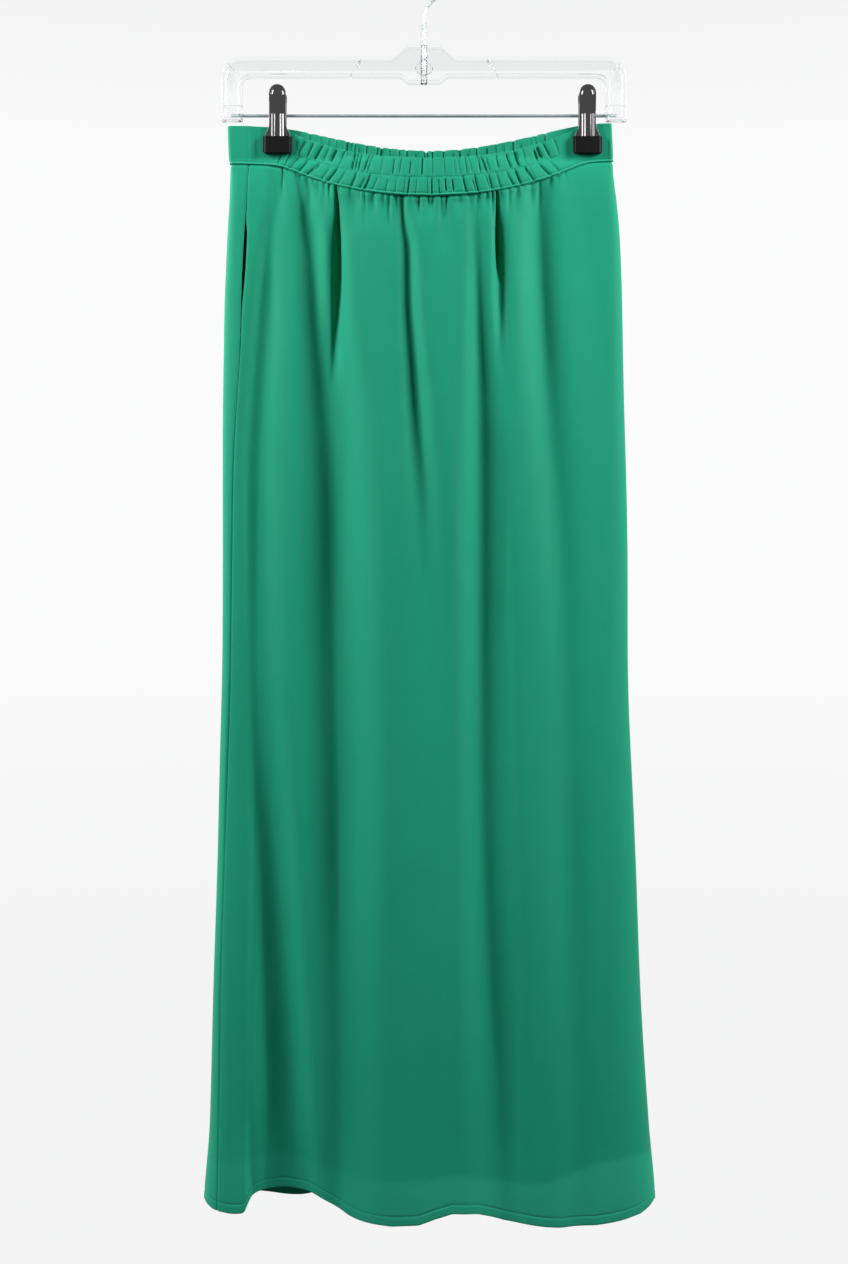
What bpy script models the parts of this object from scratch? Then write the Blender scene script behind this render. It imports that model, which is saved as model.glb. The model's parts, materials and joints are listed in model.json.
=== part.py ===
"""A maxi skirt hung by its waistband from a clear clip hanger.

Every size below is in millimetres. X runs across the skirt to the right of someone who looks at its
front, Y runs from the front to the back, and Z runs up. The origin is the inside of the hook's top,
where the hanger hangs, so every height of the skirt is below zero.
"""

import math
from collections import namedtuple

import bmesh
import bpy
import numpy as np
from mathutils import Matrix

MM = 0.001
TOUCH = 0.3  # the gap between two pieces that are sewn together or that lie on each other
SEAM_GAP = 0.4  # the gap along the waist seam
LAYER_GAP = 0.5  # the gap between two hidden layers

# ---------------------------------------------------------------- the hanger and its clips
BODY_HALF_WIDTH = 180.8
BODY_TOP = -86.2
BODY_BOTTOM = -104.5
BODY_DEPTH = 5.0
RIM_WIDTH = 3.5
WEB_DEPTH = 1.8
CORNER_RADIUS = 18.0
ARM_WIDTH = 18.8
ARM_BOTTOM = -143.8
ARM_FILLET = 8.0
HUMP_TOP = -75.0
HUMP_BOTTOM = -110.3
HUMP_TOP_HALF = 17.0
HUMP_SHOULDER_HALF = 29.5
HUMP_BOTTOM_HALF = 15.0
HUMP_FOOT_HALF = 21.0
RIB_X = 61.0
RIB_LEAN = 34.0
RIB_HALF_LENGTH = 9.4
RIB_THICK, RIB_DEPTH = 1.6, 3.8
BOSS_RADIUS = 8.0
BOSS_DEPTH = 4.4
BOSS_HEIGHT = -95.5
SLEEVE_RADIUS = 3.1
SLEEVE_TOP = -56.0
SOCKET_HEIGHT, SOCKET_DEPTH = 14.8, 4.6

WIRE_RADIUS = 1.5
STEM_BOTTOM = -98.0
STEM_LEAN = 3.4
STEM_BEND = -47.0
HOOK_RADIUS = 19.0
HOOK_FROM, HOOK_TO = -58.0, 198.0  # degrees round the hook's circle, from the stem to the tip
BAR_HEIGHT = -138.4
BAR_HALF_LENGTH = 172.0

CLIP_LEFT, CLIP_RIGHT = -130.4, 145.6
PLATE_THICK = 1.0
EAR_THICK = 1.0
FRONT_EAR, REAR_EAR = 6.9, 5.4  # from the clip's middle to the middle of an ear
EAR_HALF_HEIGHT = 4.0
EAR_NEAR, EAR_FAR = 4.9, 2.7  # how far an ear reaches from the bar, to its plate and past the bar
SPRING_RADIUS, SPRING_HALF_LENGTH = 3.4, 4.4
PAD_WIDTH, PAD_HEIGHT, PAD_DEPTH = 26.3, 15.2, 4.0
PAD_TOP = -158.0
PAD_CORNER = 2.6
PAD_GAP = 0.45  # between a pad and the pressed waistband
TONGUE_BOTTOM = -168.0

# Down a clip's plate: its height, how far its outer face is from the bar's plane, and half its width.
PlateRow = namedtuple("PlateRow", "height out half")
PLATE = [
    PlateRow(-111.2, 9.9, 4.2),
    PlateRow(-112.8, 9.7, 6.6),
    PlateRow(-116.0, 9.2, 7.6),
    PlateRow(-132.0, 6.0, 7.6),
    PlateRow(-139.0, 5.4, 7.6),
    PlateRow(-147.0, 5.6, 7.6),
    PlateRow(-157.4, 5.3, 11.2),
    PlateRow(-157.9, 5.3, 10.0),
    PlateRow(TONGUE_BOTTOM, 5.3, 10.0),
]
PLATE_COLUMNS = 4

# ---------------------------------------------------------------- the skirt's form
BAND_HEIGHT = 34.0
BAND_WALL = 1.9
BAND_FACE = 2.6  # the pressed waistband's outer face, from the hanger's plane
CLOTH_WALL = 1.2
LINING_WALL = 1.0
BAG_WALL = 1.6
TOP_AT_LEFT, TOP_AT_RIGHT = -148.5, -145.5  # the waistband's top edge, outside the clips
DIP_MIDDLE, DIP_HALF_SPAN = 8.0, 138.0  # the edge sags between the clips
FRONT_DIP, BACK_DIP = 38.0, 16.5
DIP_SOFTNESS = 0.15  # how softly the edge starts to sag at a clip, as a share of the sag
PINCH_HALF = 18.0  # each side of a clip's middle the waistband is pressed flat
HEM_HEIGHT, BACK_HEM_HEIGHT = -1113.0, -1110.0
HEM_FOLD = 8.0  # the turned-up hem, twice as thick as the cloth
LINING_ABOVE_HEM = 42.0

# The skirt's level sections: where the left and right ends are, how deep the cloth lies at its ends,
# how far the front and the back bow out beyond that between the clips, half the bow's span, how long
# the rounding of each end is, and how far in from the left end the side seam lies on the front.
Section = namedtuple("Section", "height left right side front back span end seam")
SECTIONS = [
    Section(-140, -175.4, 167.6, BAND_FACE, 26, 27, 122, 3.6, 19),
    Section(-177, -174.2, 168.8, BAND_FACE, 27, 27, 122, 3.6, 18),
    Section(-184, -172.8, 168.6, 4.8, 27, 27, 125, 4.6, 17),
    Section(-200, -173.2, 170.0, 7.4, 27, 26, 129, 7.0, 16),
    Section(-213, -173.6, 171.6, 8.4, 27, 26, 132, 8.0, 16),
    Section(-249, -175.9, 174.4, 9.8, 27, 25, 140, 10.0, 16),
    Section(-320, -178.6, 177.2, 12.0, 27, 24, 150, 14.0, 16),
    Section(-463, -179.6, 180.4, 15.0, 27, 24, 160, 20.0, 10),
    Section(-606, -179.6, 181.6, 18.0, 27, 25, 168, 27.0, 8),
    Section(-749, -183.0, 186.6, 22.0, 28, 26, 174, 34.0, 7),
    Section(-892, -187.2, 192.6, 26.0, 29, 27, 180, 42.0, 7),
    Section(-1035, -191.2, 200.4, 29.0, 30, 28, 186, 48.0, 9),
    Section(-1120, -197.0, 207.0, 31.0, 30, 28, 190, 50.0, 14),
]
RIGHT_SEAM_IN = 7.0  # the right side seam lies on the back, this far in from the right end
LOOP_BULGE = 1.6  # the waistband's loops outside the clips are this much rounder than at a clip

# The long folds of the front and the back. Each row gives a height, where the valley lies there, how
# deep it is, and how far its left and right flanks reach.
Fold = namedtuple("Fold", "height x depth left right")
FRONT_FOLDS = {
    "side_valley": [
        Fold(-195, -133, 1.5, 10, 10),
        Fold(-249, -137, 4.0, 12, 10),
        Fold(-320, -142, 6.0, 13, 12),
        Fold(-463, -150, 5.0, 12, 16),
        Fold(-606, -152, 5.0, 11, 22),
        Fold(-749, -142, 8.0, 14, 24),
        Fold(-892, -140, 12.0, 16, 24),
        Fold(-1035, -131, 17.0, 20, 26),
        Fold(-1120, -128, 20.0, 20, 27),
    ],
    "hem_tuck": [
        Fold(-1040, -150, 0.0, 8, 14),
        Fold(-1090, -149, 6.0, 6, 14),
        Fold(-1120, -149, 10.0, 5, 14),
    ],
    "left_gather": [
        Fold(-195, -109, 4.0, 7, 7),
        Fold(-249, -105, 6.0, 9, 8),
        Fold(-320, -101, 6.0, 12, 9),
        Fold(-410, -96, 5.0, 12, 11),
        Fold(-520, -90, 0.0, 12, 12),
    ],
    "left_pleat": [
        Fold(-182, -78, 2.0, 4, 4),
        Fold(-206, -78, 7.0, 4, 4),
        Fold(-225, -78, 12.0, 4, 4),
        Fold(-255, -79, 12.0, 5, 5),
        Fold(-320, -80, 9.0, 7, 9),
        Fold(-410, -82, 8.0, 14, 15),
        Fold(-500, -86, 9.0, 20, 21),
        Fold(-606, -86, 9.0, 20, 22),
        Fold(-749, -83, 8.0, 20, 24),
        Fold(-892, -80, 7.0, 20, 26),
        Fold(-1035, -82, 5.0, 20, 26),
        Fold(-1120, -84, 3.0, 20, 26),
    ],
    "middle_gather": [
        Fold(-200, -20, 2.0, 6, 6),
        Fold(-249, -16, 6.0, 9, 9),
        Fold(-300, -14, 8.0, 9, 9),
        Fold(-350, -10, 7.0, 10, 10),
        Fold(-410, -6, 4.0, 12, 12),
        Fold(-500, -2, 1.5, 16, 16),
        Fold(-749, -6, 0.0, 20, 20),
    ],
    "right_wave": [
        Fold(-200, 42, 2.0, 6, 6),
        Fold(-249, 45, 3.0, 9, 9),
        Fold(-300, 47, 6.0, 9, 10),
        Fold(-350, 49, 6.5, 11, 12),
        Fold(-410, 52, 6.0, 14, 16),
        Fold(-463, 54, 7.0, 16, 18),
        Fold(-606, 55, 8.0, 18, 22),
        Fold(-749, 55, 8.0, 20, 24),
        Fold(-892, 61, 9.0, 25, 24),
        Fold(-1035, 68, 11.0, 30, 22),
        Fold(-1120, 66, 13.0, 32, 24),
    ],
    "right_pleat": [
        Fold(-182, 65, 2.0, 4, 4),
        Fold(-204, 65, 7.0, 4, 4),
        Fold(-220, 66, 11.0, 4, 4),
        Fold(-249, 67, 11.0, 4, 4),
        Fold(-300, 69, 6.0, 5, 5),
        Fold(-350, 71, 4.0, 7, 7),
        Fold(-430, 73, 0.0, 9, 9),
    ],
    "outer_gather": [
        Fold(-195, 108, 4.0, 8, 7),
        Fold(-249, 108, 6.0, 8, 9),
        Fold(-320, 110, 6.0, 9, 11),
        Fold(-410, 114, 4.0, 12, 13),
        Fold(-463, 123, 3.0, 14, 15),
        Fold(-606, 129, 3.5, 16, 16),
        Fold(-749, 132, 3.5, 18, 18),
        Fold(-892, 134, 3.0, 18, 18),
        Fold(-1120, 136, 1.0, 20, 20),
    ],
}
BACK_FOLDS = {
    "right_valley": [
        Fold(-200, 112, 3.0, 10, 9),
        Fold(-320, 110, 6.0, 12, 12),
        Fold(-606, 118, 7.0, 20, 18),
        Fold(-1120, 128, 14.0, 26, 24),
    ],
    "right_gather": [
        Fold(-195, 62, 3.0, 7, 7),
        Fold(-280, 58, 8.0, 10, 9),
        Fold(-420, 52, 6.0, 14, 14),
        Fold(-640, 46, 7.0, 20, 22),
        Fold(-1120, 44, 9.0, 26, 28),
    ],
    "middle_valley": [
        Fold(-195, 4, 3.0, 7, 8),
        Fold(-300, 0, 7.0, 10, 10),
        Fold(-430, -4, 4.0, 13, 13),
        Fold(-560, -6, 0.0, 16, 16),
    ],
    "left_gather": [
        Fold(-195, -54, 4.0, 8, 7),
        Fold(-300, -50, 7.0, 10, 11),
        Fold(-606, -42, 8.0, 20, 18),
        Fold(-892, -38, 8.0, 24, 22),
        Fold(-1120, -40, 10.0, 28, 26),
    ],
    "left_valley": [
        Fold(-200, -104, 2.0, 9, 9),
        Fold(-340, -108, 6.0, 12, 12),
        Fold(-700, -112, 8.0, 20, 22),
        Fold(-1120, -116, 12.0, 26, 26),
    ],
}

# The short gathers that the waist seam holds: where each starts, its length, depth and half width.
Gather = namedtuple("Gather", "x length depth half")
FRONT_GATHERS = [
    Gather(-94, 26, 2.4, 4.5),
    Gather(-62, 46, 3.0, 5.0),
    Gather(-47, 34, 2.6, 4.5),
    Gather(-34, 42, 2.6, 4.5),
    Gather(-6, 30, 2.2, 4.5),
    Gather(6, 24, 2.4, 4.5),
    Gather(18, 70, 3.4, 5.0),
    Gather(31, 26, 2.2, 4.5),
    Gather(54, 24, 2.4, 4.0),
    Gather(81, 40, 2.8, 5.0),
    Gather(94, 30, 2.6, 4.5),
]
BACK_GATHERS = [
    Gather(96, 28, 2.6, 5.0),
    Gather(84, 40, 2.8, 5.0),
    Gather(74, 24, 2.2, 4.5),
    Gather(48, 36, 3.0, 5.0),
    Gather(34, 26, 2.4, 4.5),
    Gather(21, 48, 3.0, 5.0),
    Gather(-12, 30, 2.4, 4.5),
    Gather(-25, 44, 3.0, 5.0),
    Gather(-38, 26, 2.4, 4.5),
    Gather(-68, 32, 2.8, 4.5),
    Gather(-82, 42, 3.0, 5.0),
    Gather(-94, 24, 2.2, 4.5),
]

# Where the front hem hangs higher than the rest: the place, the lift and half its width.
Lift = namedtuple("Lift", "x lift half")
HEM_LIFTS = [Lift(-131, 21.0, 30.0), Lift(40, 10.0, 34.0), Lift(207, 9.0, 12.0)]

PUCKER_FROM, PUCKER_TO = -113.0, 127.0  # the elastic gathers the waistband between these
PUCKER_PITCH = 7.6
PUCKER_DEPTH = 0.8
PUCKER_SWELL = 0.5  # how far the cloth stands out between two puckers
COLUMNS_PER_PUCKER = 3
FLAT_COLUMNS, END_COLUMNS = 6, 13  # the band's columns before its puckers, and round its end
BAND_ROWS = (0.0, 0.22, 0.5, 0.75, 1.0)
BAND_INNER_ROWS = (0, 1, 2, 4)  # the rows that the plain inner face has too

POCKET_TOP, POCKET_BOTTOM = -226.0, -372.0
POCKET_GAPE = 1.6
BAG_TOP, BAG_BOTTOM, BAG_WIDTH = -222.0, -410.0, 92.0
BAG_PAST_SEAM = 1.0  # the bag reaches this far behind the back's edge of the seam
LINING_NARROWER = 6.0  # how much narrower than the skirt the lining becomes at each end

# Where columns lie closer, as a fraction across a panel and a width: its rounded end and the pleats.
END_DENSE = {"front": [(0.97, 0.026)], "back": [(0.945, 0.026)]}
PLEATS_DENSE = [(0.23, 0.03), (0.63, 0.03)]
FRONT_COLUMNS, BACK_COLUMNS = 68, 48
SKIRT_ROWS = (0, 0.007, 0.024, 0.045, 0.075, 0.12, 0.18, 0.27, 0.38, 0.51, 0.66, 0.83)
LINING_COLUMNS = 24
LINING_ROWS = (0, 0.022, 0.045, 0.2, 0.45, 0.72, 1.0)
EDGE_STEP = 0.001
LOOP_HEIGHTS = np.concatenate([np.linspace(-138.0, -260.0, 82), np.linspace(-270.0, -1122.0, 72)])
LOOP_POINTS = 260
FOLD_SHARE = 0.42  # a fold may take up this share of the depth beyond FOLD_FLOOR
FOLD_FLOOR = 3.3
SEAM_HOLD, SEAM_REACH = 0.3, 40.0  # the share that the waist seam leaves, and how far down it acts


# ---------------------------------------------------------------- small helpers
def material(name, colour, roughness, metallic=0.0, alpha=1.0):
    made = bpy.data.materials.new(name)
    made.use_nodes = True
    shader = made.node_tree.nodes["Principled BSDF"]
    shader.inputs["Base Color"].default_value = (*colour, 1.0)
    shader.inputs["Roughness"].default_value = roughness
    shader.inputs["Metallic"].default_value = metallic
    shader.inputs["Alpha"].default_value = alpha
    return made


def mesh_object(name, points, faces, finish):
    """One closed mesh from points in millimetres, with its faces turned outwards."""
    bm = bmesh.new()
    corners = [bm.verts.new([c * MM for c in p]) for p in points]
    for face in faces:
        bm.faces.new([corners[i] for i in face])
    bmesh.ops.recalc_face_normals(bm, faces=bm.faces)
    mesh = bpy.data.meshes.new(name)
    bm.to_mesh(mesh)
    bm.free()
    mesh.materials.append(finish)
    made = bpy.data.objects.new(name, mesh)
    bpy.context.scene.collection.objects.link(made)
    return made


def shade_round(piece, degrees=40.0):
    piece.data.shade_smooth()
    piece.data.set_sharp_from_angle(angle=math.radians(degrees))


def wall(name, outer, inner, finish):
    """A sheet with thickness: two grids of points, joined all round their edges.

    Both faces are split along the same diagonals, so that they stay apart where the cloth folds.
    """
    rows, columns = outer.shape[:2]
    points = np.concatenate([outer.reshape(-1, 3), inner.reshape(-1, 3)])
    number = np.arange(rows * columns).reshape(rows, columns)
    faces = []
    for i in range(rows - 1):
        for j in range(columns - 1):
            corners = [number[i, j], number[i + 1, j], number[i + 1, j + 1], number[i, j + 1]]
            one_way, other_way = (np.linalg.norm(points[corners[k]] - points[corners[k + 2]]) for k in (0, 1))
            if other_way < one_way:
                corners = corners[1:] + corners[:1]
            for face in (corners[:3], [corners[0], *corners[2:]]):
                faces.append(face)
                faces.append([k + rows * columns for k in reversed(face)])
    rim = np.concatenate([number[0, :-1], number[:-1, -1], number[-1, :0:-1], number[:0:-1, 0]])
    back = rim + rows * columns
    for k in range(len(rim)):
        after = (k + 1) % len(rim)
        faces.append([rim[k], rim[after], back[after], back[k]])
    piece = mesh_object(name, points, faces, finish)
    shade_round(piece)
    return piece


def blended(rows, column, at):
    """A column of a table at other heights, on a smooth curve through the rows."""
    heights = np.array([-r.height for r in rows], float)
    values = np.array([getattr(r, column) for r in rows], float)
    rates = np.diff(values) / np.diff(heights)
    slopes = np.zeros(len(rows))
    same_way = rates[1:] * rates[:-1] > 0
    slopes[1:-1][same_way] = 2 / (1 / rates[1:][same_way] + 1 / rates[:-1][same_way])
    at = np.clip(-np.asarray(at, float), heights[0], heights[-1])
    k = np.clip(np.searchsorted(heights, at) - 1, 0, len(heights) - 2)
    span = heights[k + 1] - heights[k]
    t = (at - heights[k]) / span
    rise = values[k] * (1 + 2 * t) * (1 - t) ** 2 + values[k + 1] * t * t * (3 - 2 * t)
    lean = slopes[k] * t * (1 - t) ** 2 - slopes[k + 1] * t * t * (1 - t)
    return rise + lean * span


def bell(distance):
    """A soft hump: 1 at the middle and almost nothing from 2 on."""
    return np.exp(-distance * distance)


def eased(t):
    t = np.clip(t, 0.0, 1.0)
    return t * t * (3 - 2 * t)


# ---------------------------------------------------------------- the skirt's sections
def fold_room(depth, below_seam):
    """How deep a fold may be where the cloth lies at this depth. The waist seam holds folds shallow."""
    held = SEAM_HOLD + (1.0 - SEAM_HOLD) * eased(below_seam / SEAM_REACH)
    return FOLD_SHARE * held * np.maximum(depth - FOLD_FLOOR, 0.0)


def half_loop(height, side, inset=0.0, clear=None):
    """Half of the level section at a height, from its left end to its right end.

    A hidden layer has its ends moved in by inset and lies clear of the deepest folds.
    """
    row = {c: float(blended(SECTIONS, c, height)) for c in Section._fields[1:]}
    left, right = row["left"] + inset, row["right"] - inset
    x = left + (right - left) * (0.5 - 0.5 * np.cos(np.linspace(0.0, math.pi, LOOP_POINTS)))
    bow_at = np.clip((x - DIP_MIDDLE) / row["span"], -1.0, 1.0)
    bow = row[side] * np.cos(0.5 * math.pi * bow_at) ** 1.6
    outside = np.maximum(CLIP_LEFT - PINCH_HALF - x, x - CLIP_RIGHT - PINCH_HALF)
    loop = LOOP_BULGE * eased(outside / 8.0) * (1.0 - eased((-height - 172.0) / 20.0))
    depth = row["side"] + loop + bow
    sign = -1.0 if side == "front" else 1.0
    if clear is not None:
        below_seam = top_edge(x, sign * depth) - BAND_HEIGHT - height
        depth = depth - fold_room(depth, below_seam) - clear
    end = row["end"] * depth[0] / (row["side"] + loop[0])
    cap = np.clip(np.minimum(x - left, right - x) / end, 0.0, 1.0)
    return x, sign * depth * np.sqrt(1.0 - (1.0 - cap) ** 2)


def panel_line(height, panel, fractions, inset=0.0, clear=None):
    """Points of one panel at a height, placed along the section between its side seams."""
    front_x, front_y = half_loop(height, "front", inset, clear)
    back_x, back_y = half_loop(height, "back", inset, clear)
    x = np.concatenate([front_x, back_x[-2::-1]])
    y = np.concatenate([front_y, back_y[-2::-1]])
    along = np.concatenate([[0.0], np.cumsum(np.hypot(np.diff(x), np.diff(y)))])
    seam = float(blended(SECTIONS, "seam", height)) + front_x[0]
    left = float(np.interp(seam, front_x, along[:LOOP_POINTS]))
    over = np.interp(-(front_x[-1] - RIGHT_SEAM_IN), -back_x[::-1], along[LOOP_POINTS - 1 :])
    start, stop = (left, float(over)) if panel == "front" else (float(over), along[-1] + left)
    at = start + TOUCH / 2 + (stop - start - TOUCH) * fractions
    again = np.concatenate([along, along[-1] + along[1:]])
    x, y = np.concatenate([x, x[1:]]), np.concatenate([y, y[1:]])
    return np.interp(at, again, x), np.interp(at, again, y)


def loops_of(panel, fractions, layer=lambda height: (0.0, None)):
    """The panel's points at every height of LOOP_HEIGHTS, as an x grid and a y grid."""
    lines = [panel_line(height, panel, fractions, *layer(height)) for height in LOOP_HEIGHTS]
    return np.array([line[0] for line in lines]), np.array([line[1] for line in lines])


def at_heights(loops, heights):
    """The loops' points at a grid of heights, one column of the grid for each column of points."""
    down = -LOOP_HEIGHTS
    return np.stack(
        [np.interp(-heights[:, j], down, loops[:, j]) for j in range(heights.shape[1])], axis=1
    )


def top_edge(x, y):
    """The height of the waistband's top edge: it sags between the clips, more in front."""
    level = np.interp(x, [CLIP_LEFT, CLIP_RIGHT], [TOP_AT_LEFT, TOP_AT_RIGHT])
    sag = 1.0 - DIP_SOFTNESS / 4 - ((x - DIP_MIDDLE) / DIP_HALF_SPAN) ** 2
    sag = 0.5 * (sag + np.sqrt(sag**2 + DIP_SOFTNESS**2))
    return level - sag * (BACK_DIP + (FRONT_DIP - BACK_DIP) * eased(0.5 - y / 4.0))


def level_of(x, y, drop):
    """The heights, column by column, of an edge that runs a drop below the waistband's top."""
    heights = np.full((1, x.shape[1]), TOP_AT_LEFT - BAND_HEIGHT)
    for _ in range(5):
        heights[0] = top_edge(at_heights(x, heights)[0], at_heights(y, heights)[0]) - drop
    return heights[0]


def hem_edge(x, y):
    lifts = sum(row.lift * bell((x - row.x) / row.half) for row in HEM_LIFTS)
    to_front = eased(0.5 - y / 12.0)
    return BACK_HEM_HEIGHT + (HEM_HEIGHT - BACK_HEM_HEIGHT + lifts) * to_front


def hem_level(x, y):
    """The hem's heights, column by column."""
    low = np.full((1, x.shape[1]), HEM_HEIGHT)
    return hem_edge(at_heights(x, low)[0], at_heights(y, low)[0])


def folds_at(x, height, table):
    total = np.zeros_like(x)
    for rows in table.values():
        off = x - blended(rows, "x", height)
        reach = np.where(off < 0, blended(rows, "left", height), blended(rows, "right", height))
        starts = eased((rows[0].height + 14.0 - height) / 14.0)
        ends = 1.0 - eased((rows[-1].height - height) / 30.0)
        total += np.clip(blended(rows, "depth", height), 0, None) * bell(off / reach) * starts * ends
    return total


def gathers_at(x, below_seam, table):
    """Short valleys under the waist seam: pinched at the seam, deepest just below, then fading."""
    total = np.zeros_like(x)
    for row in table:
        down = np.clip(below_seam / row.length, 0.0, 1.0)
        depth = row.depth * (0.35 + 0.65 * eased(down * 4.0)) * (1.0 - eased(down))
        total += depth * bell((x - row.x) / (row.half * (1.0 + 0.6 * down)))
    return total


def outward(x, y):
    """The level direction that points out of the skirt, at each point of the panel's rows."""
    tx, ty = np.gradient(x, axis=1), np.gradient(y, axis=1)
    long = np.hypot(tx, ty)
    return ty / long, -tx / long


def with_guides(columns):
    """The columns, with a guide close to each side of the panel's first and last column.

    The guides only give the edges their direction, which two panels share along their seam.
    """
    first = [columns[0] - EDGE_STEP, columns[0], columns[0] + EDGE_STEP]
    last = [columns[-1] - EDGE_STEP, columns[-1], columns[-1] + EDGE_STEP]
    return np.concatenate([first, columns[1:-1], last])


def without_guides(grid):
    return np.concatenate([grid[:, 1:2], grid[:, 3:-3], grid[:, -2:-1]], axis=1)


def sheet_between(outer, thickness):
    """A sheet's two faces, made from its outer face with guides."""
    nx, ny = outward(outer[..., 0], outer[..., 1])
    level = np.stack([nx, ny, np.zeros_like(nx)], axis=2)
    inner = outer - level * np.asarray(thickness)[..., None]
    return without_guides(outer), without_guides(inner)


def column_places(count, dense=(), start=0.0, stop=1.0):
    """Fractions across a panel, closer together near the places in dense: (fraction, width)."""
    fine = np.linspace(start, stop, 2000)
    weight = np.ones_like(fine) + sum(2.6 * bell((fine - place) / width) for place, width in dense)
    total = np.concatenate([[0.0], np.cumsum(0.5 * (weight[1:] + weight[:-1]))])
    return np.interp(np.linspace(0.0, total[-1], count + 1), total, fine)


# ---------------------------------------------------------------- the skirt's pieces
def skirt_surface(panel, columns, rows):
    """The outer face of a skirt panel, from the waist seam to the hem."""
    x, y = loops_of(panel, columns)
    seam = level_of(x, y, BAND_HEIGHT + SEAM_GAP)
    hem = hem_level(x, y)
    heights = seam + (hem - seam) * np.asarray(rows)[:, None]
    px, py = at_heights(x, heights), at_heights(y, heights)
    front = folds_at(px, heights, FRONT_FOLDS) + gathers_at(px, seam - heights, FRONT_GATHERS)
    back = folds_at(px, heights, BACK_FOLDS) + gathers_at(px, seam - heights, BACK_GATHERS)
    room = np.maximum(fold_room(np.abs(py), seam - heights), 1e-6)
    depth = room * np.tanh(np.where(py < 0, front, back) / room)
    nx, ny = outward(px, py)
    return np.stack([px - nx * depth, py - ny * depth, heights], axis=2)


def open_pocket(outer):
    """The pocket's mouth: the front panel's edge at the left seam draws back a little."""
    down = (POCKET_TOP - outer[:, 1, 2]) / (POCKET_TOP - POCKET_BOTTOM)
    gape = POCKET_GAPE * np.sin(math.pi * np.clip(down, 0, 1))
    outer[:, :3, 0] += gape[:, None]


def skirt_panel(name, panel, columns, finish):
    rows = list(SKIRT_ROWS)
    length = TOP_AT_LEFT - BAND_HEIGHT - HEM_HEIGHT
    rows += [1 - (HEM_FOLD + 1) / length, 1 - HEM_FOLD / length, 1.0]
    outer = skirt_surface(panel, with_guides(columns), rows)
    if panel == "front":
        open_pocket(outer)
    thickness = np.full(outer.shape[:2], CLOTH_WALL)
    thickness[-2:] = 2 * CLOTH_WALL
    return wall(name, *sheet_between(outer, thickness), finish)


def waistband(name, panel, finish):
    """Half of the elastic waistband, with its puckers raised in the outer face only."""
    even = np.linspace(0.0, 1.0, 800)
    x, y = loops_of(panel, even)
    line_x = at_heights(x, np.full((1, len(even)), -172.0))[0]
    line_y = at_heights(y, np.full((1, len(even)), -172.0))[0]
    facing = (line_y < 0) if panel == "front" else (line_y > 0)
    gathered = facing & (line_x > PUCKER_FROM) & (line_x < PUCKER_TO)
    first, last = even[gathered][0], even[gathered][-1]
    puckers = int((PUCKER_TO - PUCKER_FROM) / PUCKER_PITCH)
    middle = np.linspace(first, last, puckers * COLUMNS_PER_PUCKER + 1)
    before = column_places(FLAT_COLUMNS, [], 0.0, first)[:-1]
    after = column_places(END_COLUMNS, END_DENSE[panel], last, 1.0)[1:]
    columns = with_guides(np.concatenate([before, middle, after]))
    x, y = loops_of(panel, columns)
    top, bottom = level_of(x, y, 0.0), level_of(x, y, BAND_HEIGHT)
    heights = top + (bottom - top) * np.asarray(BAND_ROWS)[:, None]
    px, py = at_heights(x, heights), at_heights(y, heights)
    base = np.stack([px, py, heights], axis=2)
    inner = sheet_between(base, np.full(base.shape[:2], BAND_WALL))[1][list(BAND_INNER_ROWS)]
    turn = 2 * math.pi * (np.arange(len(columns)) - len(before) - 2) / COLUMNS_PER_PUCKER
    inside = (columns > first - 1e-9) & (columns < last + 1e-9)
    uneven = 0.75 + 0.25 * np.sin(0.83 * turn / COLUMNS_PER_PUCKER + 0.6)
    ramp = eased((columns - first) / 0.04) * eased((last - columns) / 0.04)
    wave = np.where(inside, (0.5 + 0.5 * np.cos(turn)) * uneven * ramp, 0.0)
    pinched = np.array([0.8, 1.0, 0.35, 1.0, 0.6])[:, None]  # the stitch rows hold the puckers flat
    swell = np.where(inside, PUCKER_SWELL * ramp, 0.0)
    raised = swell * pinched - (PUCKER_DEPTH + PUCKER_SWELL) * wave * pinched
    nx, ny = outward(px, py)
    outer = np.stack([px + nx * raised, py + ny * raised, heights], axis=2)
    return band_wall(name, without_guides(outer), inner, finish)


def band_wall(name, outer, inner, finish):
    """A wall with more rows outside than inside."""
    rows, columns = outer.shape[:2]
    points = np.concatenate([outer.reshape(-1, 3), inner.reshape(-1, 3)])
    out = np.arange(rows * columns).reshape(rows, columns)
    back = np.arange(inner.shape[0] * columns).reshape(-1, columns) + rows * columns
    faces = []
    for j in range(columns - 1):
        for i in range(rows - 1):
            faces.append([out[i, j], out[i + 1, j], out[i + 1, j + 1], out[i, j + 1]])
        for i in range(len(back) - 1):
            faces.append([back[i, j + 1], back[i + 1, j + 1], back[i + 1, j], back[i, j]])
        faces.append([out[0, j + 1], back[0, j + 1], back[0, j], out[0, j]])
        faces.append([out[-1, j], back[-1, j], back[-1, j + 1], out[-1, j + 1]])
    faces.append([*out[::-1, 0], *back[:, 0]])
    faces.append([*out[:, -1], *back[::-1, -1]])
    piece = mesh_object(name, points, faces, finish)
    shade_round(piece, 60.0)
    return piece


def lining_layer(height):
    """How far the lining's ends are moved in, and how far it lies inside the skirt's folds."""
    clear = CLOTH_WALL + LAYER_GAP + (BAG_WALL + LAYER_GAP) * eased((BAG_TOP + 26.0 - height) / 18.0)
    return clear + LINING_NARROWER * eased((BAG_TOP - height) / 500.0), clear


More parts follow.
